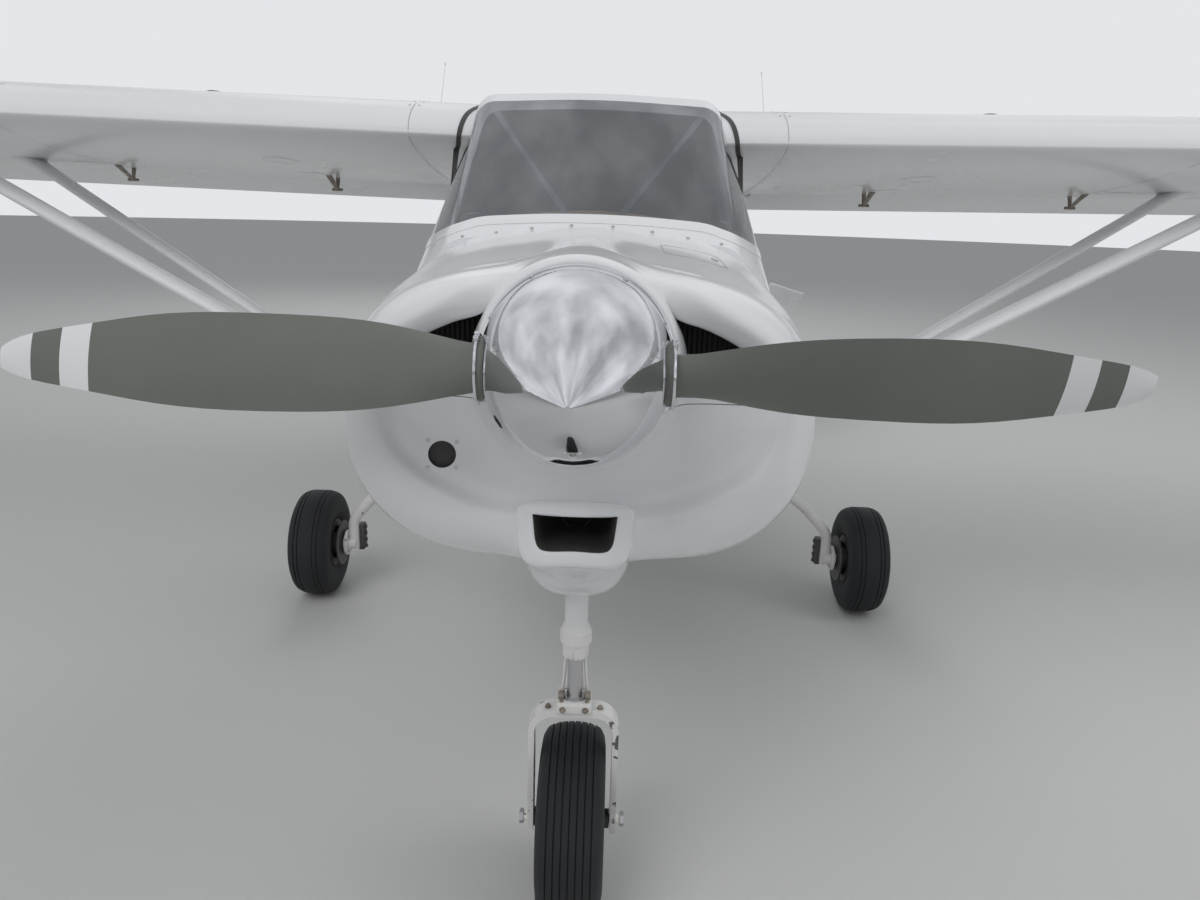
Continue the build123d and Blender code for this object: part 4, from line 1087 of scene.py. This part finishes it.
def dress_nose_side(side, way):
    """The link rod, its eye, the axle nut and bush, and the torque links on one side of the nose fork."""
    bar_between(f"link_rod_{side}", (way * 0.0290, nose_y + 0.012, 0.548),
                (way * 0.0215, nose_y + 0.006, 0.6545), 0.0036, "nicked", "nose_fork", 12)
    lathe(f"link_eye_{side}", ((0.0, -0.007), (0.009, -0.007), (0.0105, -0.0055), (0.0105, 0.0055),
                               (0.009, 0.007), (0.0, 0.007)),
          (way * 0.031, nose_y - 0.004, 0.553), (1, 0, 0), "grimy", "nose_fork", 20)
    lathe(f"axle_nut_{side}", ((0.0085, 0.0), (0.0165, 0.0), (0.0175, 0.001), (0.0175, 0.009),
                               (0.0165, 0.010), (0.0085, 0.010)),
          (way * 0.1155, nose_y, hub_z), (way, 0, 0), "steel", "nose_fork", 6)
    lathe(f"axle_bush_{side}", ((0.0125, 0.0), (0.0215, 0.0), (0.0225, 0.001), (0.0225, 0.022),
                                (0.0215, 0.023), (0.0125, 0.023)),
          (way * 0.0665, nose_y, hub_z), (way, 0, 0), "black", "nose_fork", 32, "dark_steel")
    for end, z in (("front", 0.552), ("back", 0.645)):
        bar_between(f"torque_link_{side}_{end}", (way * 0.020, nose_y + 0.026, z),
                    (way * 0.012, nose_y + 0.085, 0.598), 0.005, "nicked", "nose_fork", 10)


def dress_gear():
    lathe("nose_tyre_tread", tyre_outline(0.077, [0.0165 * step for step in range(-3, 4)]),
          (0, nose_y, hub_z), (1, 0, 0), "rubber", "nose_wheel", 96, angle=40, stands_for=("nose_tyre",))
    for side, way in SIDES:
        dress_main_wheel(side, way)
    # Calipers inboard of the main legs
    for side, way in SIDES:
        raise_block(f"leg_caliper_{side}", (way * 0.976, -1.098, 0.246), (0.022, 0.046, 0.114),
                    lambda face: abs(face.normal.x) > 0.9, 0.007, 0.004, 0.004, "black")
        spots = [(Vector((way * 0.9655, -1.104, z)), Vector((-way, 0, 0)))
                 for z in (0.203, 0.232, 0.262, 0.291)]
        set_screws(f"caliper_bolts_{side}", spots, 0.0080, 0.010, "black", "root", model_bolt)
    # Nose leg: shouldered collar, sleeve with a ragged edge, bright piston, torque links and crown
    leg = (0, nose_y, 0)
    lathe("leg_collar", ((0.0262, 0.737), (0.0275, 0.7365), (0.0345, 0.7195), (0.0362, 0.7180),
                         (0.0362, 0.6930), (0.0350, 0.6915), (0.0268, 0.6910)), leg, UP, "nicked", angle=30)
    sleeve = lathe("leg_sleeve", ((0.0262, 0.6905), (0.0298, 0.6904), (0.0300, 0.6895), (0.0300, 0.6600),
                                  (0.0296, 0.6575), (0.0288, 0.6565), (0.0180, 0.6560)), leg, UP, "chipped",
                   steps=96, angle=30)
    for vertex in sleeve.data.vertices:
        x, y = vertex.co.x, vertex.co.y - nose_y
        if vertex.co.z < 0.659 and math.hypot(x, y) > 0.025:
            turn = math.atan2(x, y)
            ragged = 0.0022 * math.sin(turn * 9) * math.sin(turn * 5 + 1) + 0.0016 * math.sin(turn * 17 + 2)
            vertex.co.z += ragged
    lathe("piston_sleeve", ((0.0168, 0.6545), (0.0172, 0.6540), (0.0172, 0.5520), (0.0185, 0.5510),
                            (0.0235, 0.5505), (0.0245, 0.5455)), leg, UP, "steel", "nose_fork", 48, angle=30)
    for side, way in reversed(SIDES):
        dress_nose_side(side, way)
    bolts = [(Vector((x, nose_y + y, 0.5445)), UP) for x in (-0.029, 0.029) for y in (-0.021, 0.021)]
    bolts += [(Vector((x, nose_y - 0.0332, 0.532)), -AFT) for x in (-0.026, 0.026)]
    bolts += [(Vector((x, nose_y - 0.012, 0.5262)), UP) for x in (-0.060, 0.060)]
    set_screws("crown_bolts", bolts, 0.0055, 0.006, "grimy", "nose_fork", model=model_bolt)
    raise_block("crown_plate", (0, nose_y, 0.5325), (0.080, 0.066, 0.024), lambda face: face.normal.z > 0.9,
                0.006, 0.002, 0.003, "chipped", "nose_fork")


# Wings
wing_seam_x = (0.60, 1.95, 3.35, 4.62)
# Round covers underneath: (place along the span, share of the chord)
WING_COVERS = ((1.15, 0.30), (1.15, 0.58), (2.05, 0.58), (2.9, 0.30), (2.9, 0.58), (3.75, 0.58), (4.5, 0.35))
bracket_x = (1.10, 1.955, 3.12, 4.30)
root_screw_x = (0.585, 0.615)
root_screw_shares = (0.08, 0.14, 0.20, 0.28, 0.36, 0.44, 0.52, 0.60)
wing_chord = 1.34
wing_nose_y = -1.725
wing_nose_z = 1.850
wing_slope = math.radians(6.5)
wing_rise = math.tan(math.radians(1.0))
rise_from_x = 0.3
nose_share = 0.10


def wing_hit(wing, x, share, top=False):
    """Where a line down on the wing, or up from under it, meets it at a share of the chord."""
    out = 1 if top else -1
    rise = wing_rise * (abs(x) - rise_from_x)
    y = wing_nose_y + wing_chord * share * math.cos(wing_slope)
    z = wing_nose_z + rise - wing_chord * share * math.sin(wing_slope) + out * 0.1
    return nearest_hit(wing, Vector((x, y, z)) + Vector((0, 0, out * 0.3)), DOWN if top else UP, 0.8)


def section_path(x, back_low, back_high, lean=(0, 0)):
    """Places and ways in round a wing section: from underneath, round the nose and over the top."""
    flats, turns = 8, 36
    rise = wing_rise * (abs(x) - rise_from_x)
    core = Vector((x, wing_nose_y + wing_chord * nose_share,
                   wing_nose_z + rise - wing_chord * nose_share * math.tan(wing_slope) + 0.03))
    spots = []
    for i in range(flats):
        y = wing_nose_y + wing_chord * (back_low - (back_low - nose_share) * i / flats)
        spots.append((Vector((x, y, wing_nose_z + rise - 0.05)), UP))
    for i in range(turns + 1):
        angle = math.pi * i / turns
        spots.append((core, Vector((0, math.sin(angle), math.cos(angle)))))
    for i in range(flats):
        y = wing_nose_y + wing_chord * (nose_share + (back_high - nose_share) * (i + 1) / flats)
        spots.append((Vector((x, y, wing_nose_z + rise + 0.05)), DOWN))
    path = []
    for i, (spot, way) in enumerate(spots):
        share = min(max((i - flats) / turns, 0), 1)
        shift = lean[0] + (lean[1] - lean[0]) * share
        path.append((spot + Vector((shift if x > 0 else -shift, 0, 0)), way))
    return path, core


def wrap_strip(name, on, path, core, width, thick, finish):
    """A band that runs round a wing section, with its width along the span."""
    rows = [cast_row(on, spot, Vector((1, 0, 0)), way, width, 2, 0.4, 0.8, 0.0003) for spot, way in path]
    rows = [row for row in rows if row]
    band = grid_through(rows, len(rows))
    band.data.update()
    if sum(face.normal.dot(face.center - core) for face in band.data.polygons) < 0:
        begin_edit(band, True)
        bpy.ops.mesh.flip_normals()
        end_edit()
    add_modifier(band, "SOLIDIFY", thickness=thick, offset=1)
    settle(band, 40)
    finish_piece(band, name, finish)


def dress_wing(side, way):
    wing = [f"wing_{side}"]
    path, core = section_path(way * 0.411, 0.66, 0.62, (0.070, -0.022))
    wrap_strip(f"root_seal_{side}", wing + ["cabin_shell"], path, core, 0.015, 0.0030, "black")
    for i, x in enumerate(wing_seam_x):
        path, core = section_path(way * x, 0.70, 0.70)
        wrap_strip(f"wing_seam_{side}_{i}", wing, path, core, 0.0022, 0.0002, "seam")
    places = [wing_hit(wing, way * x, share, top)
              for share in root_screw_shares for x in root_screw_x for top in (True, False)]
    set_screws(f"root_screws_{side}", places, 0.0042, 0.0011)
    # Round inspection covers underneath, each with its screws
    screws = []
    for i, (x, share) in enumerate(WING_COVERS):
        found = wing_hit(wing, way * x, share)
        if found:
            lathe(f"cover_{side}_{i}", ((0.0, 0.0018), (0.060, 0.0018), (0.0635, 0.0012), (0.0645, 0.0)),
                  *found, "paint", steps=40)
            angles = [step * math.tau / 6 for step in range(6)]
            screws += [(spot, found[1]) for spot in ring_points(found[0], 0.053, angles, found[1], 0.0018)]
    set_screws(f"cover_screws_{side}", screws, 0.0035, 0.0010)
    lathe(f"fuel_cap_{side}", ((0.0, 0.008), (0.020, 0.008), (0.024, 0.0065), (0.026, 0.003),
                               (0.040, 0.003), (0.044, 0.0015), (0.045, 0.0)),
          *wing_hit(wing, way * 1.35, 0.26, True), "black", steps=40)
    # Whip aerial on the wing root
    foot = nearest_hit(wing, (way * 0.635, -1.02, 2.4), DOWN, 1.0)[0]
    tip = foot + Vector((way * -0.022, 0.055, 0.235))
    bar_between(f"whip_{side}", foot, tip, 0.0024, "paint", sides=10, taper=0.6)
    bar_between(f"whip_tip_{side}", tip - Vector((0, 0.001, 0.004)), tip + Vector((0, 0.001, 0.005)), 0.0034,
                "paint", sides=10)
    lathe(f"whip_foot_{side}", ((0.0, 0.016), (0.006, 0.016), (0.009, 0.010), (0.016, 0.004), (0.017, 0.0)),
          foot, UP, "black", steps=24)
    # Flap and aileron brackets under the trailing edge
    for i, x in enumerate(bracket_x):
        under = wing_hit(wing, way * x, 0.62)
        if under:
            low = under[0] + Vector((0, 0.085, -0.052))
            across = Vector((0.022, 0, 0))
            bar_between(f"bracket_{side}_{i}", under[0] + Vector((0, -0.03, 0.004)), low, 0.013, "grimy",
                        sides=12, taper=0.7, flat=0.5)
            bar_between(f"bracket_stay_{side}_{i}", under[0] + Vector((0, 0.105, 0.010)), low, 0.010,
                        "grimy", sides=12, taper=0.8, flat=0.5)
            bar_between(f"bracket_pin_{side}_{i}", low - across, low + across, 0.006, "grimy", sides=12)
    found = nearest_hit([f"wing_tip_{side}"], (way * 5.7, -1.15, 1.90), Vector((-way, 0, 0)), 1.2)
    if found:
        lathe(f"tip_light_{side}", ((0.0, 0.030), (0.010, 0.028), (0.019, 0.021), (0.024, 0.010),
                                    (0.026, 0.0)), found[0] - Vector((way * 0.030, 0, 0)), (way, 0, 0),
              "red_lens" if way > 0 else "green_lens", steps=32)


def dress_wings():
    for side, way in SIDES:
        dress_wing(side, way)
    # Air-speed probe under the left wing
    under = wing_hit(["wing_left"], 2.55, 0.10)[0]
    bar_between("probe_mast", under + Vector((0, 0.01, 0.005)), under + Vector((0, -0.02, -0.085)), 0.010,
                "paint", taper=0.8, flat=0.5)
    bar_between("probe_tube", under + Vector((0, 0.010, -0.085)), under + Vector((0, -0.150, -0.085)),
                0.0065, "steel", taper=0.8)


# Struts: low end, high end, half the chord and half the thickness
STRUTS = (((0.52, -1.79, 0.889), (2.518, -1.366, 1.854), 0.048, 0.023),
          ((0.52, -1.68, 0.855), (2.399, -0.946, 1.829), 0.040, 0.019))
# A cuff's width, by its share of the length
CUFF = ((0.0, 1.04), (0.35, 1.06), (0.7, 1.14), (0.9, 1.35), (1.0, 1.75))
cuff_length = 0.16


def make_strut_cuff(name, wing, low, high, half_chord, half_thick):
    """A cuff that widens where a strut meets the wing."""
    along = (high - low).normalized()
    hit = nearest_hit([wing], low, along, 4.0)
    cuff = add_shape(bpy.ops.mesh.primitive_cylinder_add, vertices=32, radius=1, depth=1)
    begin_edit(cuff)
    pick(cuff, lambda face: face.normal.z > 0.9, "FACE")
    for _ in CUFF[2:]:
        extrude(0, 0, 1)
    end_edit()
    heights = sorted({round(vertex.co.z, 3) for vertex in cuff.data.vertices})
    for vertex in cuff.data.vertices:
        share, wide = CUFF[heights.index(round(vertex.co.z, 3))]
        vertex.co.x *= half_chord * (1 + (wide - 1) * 1.4)
        vertex.co.y *= half_thick * wide
        vertex.co.z = (share - 1.0) * cuff_length + (0.012 if share == 1 else 0)
    sideways = (AFT - along * along.y).normalized()
    turn = Matrix((sideways, along.cross(sideways), along)).transposed().to_4x4()
    cuff.data.transform(Matrix.Translation(hit[0] if hit else high) @ turn)
    begin_edit(cuff, True)
    bpy.ops.mesh.normals_make_consistent(inside=False)
    end_edit()
    settle(cuff, 50)
    finish_piece(cuff, name, "paint")


def dress_struts():
    for side, way in SIDES:
        for i, (low, high, half_chord, half_thick) in enumerate(STRUTS):
            low, high = (Vector((way * p[0], p[1], p[2])) for p in (low, high))
            make_strut_cuff(f"strut_cuff_{side}_{i}", f"wing_{side}", low, high, half_chord, half_thick)


# Doors: window beads, handles and locks. A window is its y and z limits and the cuts at its rear corners.
door_window = (-1.563, -0.857, 1.232, 1.568, 0.0, 0.0)
quarter_window = (-0.703, -0.437, 1.262, 1.575, 0.030, 0.035)
window_turn = 0.070
handle_y = -0.875
handle_z = 1.13
lock_z = 1.06


def dress_doors():
    for side, way in SIDES:
        door = f"door_{side}"
        for name, on, body, (y0, y1, z0, z1, high_cut, low_cut) in (
                ("door_window_bead", [door, f"door_window_{side}"], door, door_window),
                ("quarter_window_bead", ["cabin_shell", f"quarter_window_{side}"], "root", quarter_window)):
            loop = round_corners(y0 + window_turn, y1 - window_turn, z0 + window_turn, z1 - window_turn,
                                 window_turn, high_cut, low_cut)
            lay_strip(f"{name}_{side}", on, [(way * 0.8, y, z) for y, z in loop], (-way, 0, 0), 0.013,
                      0.0016, "black", body)
        found = side_hit([door], way, handle_y, handle_z)
        lathe(f"handle_boss_{side}", ((0.0, 0.020), (0.011, 0.020), (0.013, 0.017), (0.013, 0.006),
                                      (0.024, 0.003), (0.026, 0.0)), *found, "steel", door, 32)
        base = found[0] + found[1] * 0.016
        bar_between(f"handle_{side}", base + Vector((0, -0.005, 0.002)), base + Vector((0, 0.095, -0.006)),
                    0.009, "steel", door, taper=0.8, flat=0.5)
        lathe(f"lock_{side}", ((0.0, 0.0025), (0.009, 0.0025), (0.0105, 0.0015), (0.011, 0.0)),
              *side_hit([door], way, handle_y, lock_z), "steel", door, 24)


# Nose and tail fittings
cowl_screw_y = (-3.02, -2.90, -2.78, -2.66, -2.54, -2.42, -2.32)
cone_screw_y = (-0.20, 0.35, 0.95, 1.55, 2.15, 2.7)
oil_door = (0.185, 0.285, -2.735, -2.585, 0.018)
fin_count = 14
fin_pitch = 0.0095


def dress_nose(vent):
    cowl = ["cowl_lower_skin", "cowl_upper_skin"]
    place, normal = vent
    lathe("vent_mesh", ((0.0, -0.0070), (0.020, -0.0075), (0.0285, -0.0085), (0.0285, -0.0100)), place,
          normal, "mesh", steps=48)
    screws = [nearest_hit(cowl, spot, -normal, 0.2)
              for spot in ring_points(place, 0.0365, (0.7, 2.35, 3.9, 5.5), normal, 0.06)]
    screws += [side_hit(cowl, side, y, z) for side in (-1, 1) for y in cowl_screw_y for z in (1.325, 1.276)]
    set_screws("cowl_screws", screws, 0.0042, 0.0012)
    # Oil door on top of the cowl
    corners = [(x, y, 1.6) for x, y in round_corners(*oil_door)]
    lay_strip("oil_door_gap", cowl, corners, DOWN, 0.002, 0.0003, "seam")
    latch = nearest_hit(cowl, (0.285, -2.66, 2.1), DOWN, 1.2)
    set_screws("oil_door_latch", [latch], 0.009, 0.002)
    # Inside the scoop: the round duct at the back
    lathe("scoop_duct", ((0.020, 0.0), (0.029, 0.0), (0.031, 0.002), (0.031, 0.020), (0.026, 0.020)),
          (0.0, -3.005, 1.052), -AFT, "rubber", steps=40, slot="black_metal")
    # Baffle fins in the inlets, in the same near-black painted shade
    for side, way in reversed(SIDES):
        fins = add_shape(bpy.ops.mesh.primitive_cube_add, size=1, location=(way * 0.245, -3.012, 1.392))
        fins.scale = (0.0016, 0.018, 0.125)
        bpy.ops.object.transform_apply(location=False, rotation=False, scale=True)
        add_modifier(fins, "ARRAY", count=fin_count, use_relative_offset=False, use_constant_offset=True,
                     constant_offset_displace=(fin_pitch, 0, 0))
        fins.location.x -= 0.062
        settle(fins, 40)
        finish_piece(fins, f"cooler_fins_{side}", "duct_and_shade")


def dress_tail():
    """Tail light, static wicks, blade aerial and the tail cone's screws."""
    spot = nearest_hit(["fin"], (0, 3.02, 3.0), DOWN, 1.5)
    if spot:
        lathe("fin_beacon", ((0.0, 0.060), (0.014, 0.058), (0.026, 0.048), (0.031, 0.030), (0.032, 0.008),
                             (0.040, 0.006), (0.042, -0.012)),
              spot[0] + Vector((0, 0, -0.048)), UP, "red_lens", steps=40)
    for side, way in SIDES:
        for i, x in enumerate((0.55, 1.05)):
            hit = nearest_hit(["elevator"], (way * x, 4.2, 0.74), -AFT, 1.2)
            if hit:
                bar_between(f"wick_{side}_{i}", hit[0] + Vector((0, -0.004, 0)),
                            hit[0] + Vector((0, 0.004, -0.02)), 0.0016, "black", "elevator", 8, 0.6)
    aerial = nearest_hit(["tail_cone"], (0, 0.55, 3.0), DOWN, 2.0)[0]
    bar_between("blade_aerial", aerial + Vector((0, 0, -0.004)), aerial + Vector((0, 0.05, 0.20)), 0.024,
                "paint", sides=24, taper=0.55, flat=0.25)
    places = [side_hit(["tail_cone"], side, y, 1.10, 1.4) for y in cone_screw_y for side in (-1, 1)]
    set_screws("cone_screws", places, 0.004, 0.001)


# Inside the cabin
seat_x = 0.245
seat_half = 0.193
pad_swell = 0.012
stuffing_frames = 16
panel_face_y = -1.965
DIALS = [(x, z, 0.040) for z in (1.425, 1.325) for x in (-0.30, -0.19, -0.08)]
DIALS += [(x, z, 0.029) for z in (1.43, 1.36) for x in (0.10, 0.18, 0.26)]
DIALS += [(0.38, 1.40, 0.040)]


def stuff(pad):
    """Swell a pad with pressure, by no more than pad_swell."""
    add_modifier(pad, "REMESH", mode="VOXEL", voxel_size=0.008)
    settle(pad)
    cloth = pad.modifiers.new("stuffing", "CLOTH")
    cloth.settings.quality = 6
    cloth.settings.use_pressure = True
    cloth.settings.uniform_pressure_force = 3.0
    cloth.settings.effector_weights.gravity = 0
    start = [vertex.co.copy() for vertex in pad.data.vertices]
    scene = bpy.context.scene
    scene.frame_start, scene.frame_end = 1, stuffing_frames
    for frame_number in range(1, stuffing_frames + 1):
        scene.frame_set(frame_number)
    made = pad.evaluated_get(bpy.context.evaluated_depsgraph_get())
    ends = [vertex.co.copy() for vertex in made.data.vertices]
    pad.modifiers.remove(cloth)
    scene.frame_set(1)
    for vertex, a, b in zip(pad.data.vertices, start, ends):
        move = b - a
        vertex.co = a + (move.normalized() * min(move.length, pad_swell) if move.length > 0 else move)
    add_modifier(pad, "SMOOTH", factor=0.5, iterations=6)
    settle(pad)


def make_pad(name, low, high):
    """A stuffed pad: a rounded block that swells between its seams."""
    low, high = Vector(low), Vector(high)
    pad = add_shape(bpy.ops.mesh.primitive_cube_add, size=1, location=(low + high) / 2)
    pad.scale = high - low
    bpy.ops.object.transform_apply(location=True, rotation=False, scale=True)
    add_modifier(pad, "BEVEL", width=0.022, segments=4)
    settle(pad)
    stuff(pad)
    finish_piece(pad, name, "cloth")
    return pad


def dress_cabin():
    for side, way in SIDES:
        x = way * seat_x
        low_x, high_x = x - seat_half, x + seat_half
        pan = make_pad(f"seat_cushion_{side}", (low_x, -1.548, 0.997), (high_x, -1.132, 1.073))
        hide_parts(f"seat_{side}")
        make_pad(f"seat_back_{side}", (low_x, -1.108, 0.997), (high_x, -1.042, 1.548))
        bar_between(f"belt_anchor_{side}", (x + way * 0.17, -1.13, 1.06), (x + way * 0.20, -1.16, 0.90),
                    0.012, "steel", sides=12, flat=0.3)
    for i, (x, z, reach) in enumerate(DIALS):
        centre = (x, panel_face_y, z)
        lathe(f"dial_bezel_{i}", ((reach * 0.86, 0.0), (reach * 0.88, 0.005), (reach, 0.006),
                                  (reach * 1.06, 0.004), (reach * 1.08, 0.0)),
              centre, AFT, "black", steps=32)
        lathe(f"dial_face_{i}", ((0.0, 0.004), (reach * 0.06, 0.0035), (reach * 0.07, 0.0012),
                                 (reach * 0.87, 0.0010)), centre, AFT, "dial", steps=32)


make_camera()
make_world()
make_lamps()
make_floor()
dress_nodes()
vent_found = dress_cowl()
dress_propeller()
dress_deck()
dress_gear()
dress_wings()
dress_struts()
dress_doors()
dress_nose(vent_found)
dress_tail()
dress_cabin()
bpy.context.scene.view_settings.view_transform = "Standard"
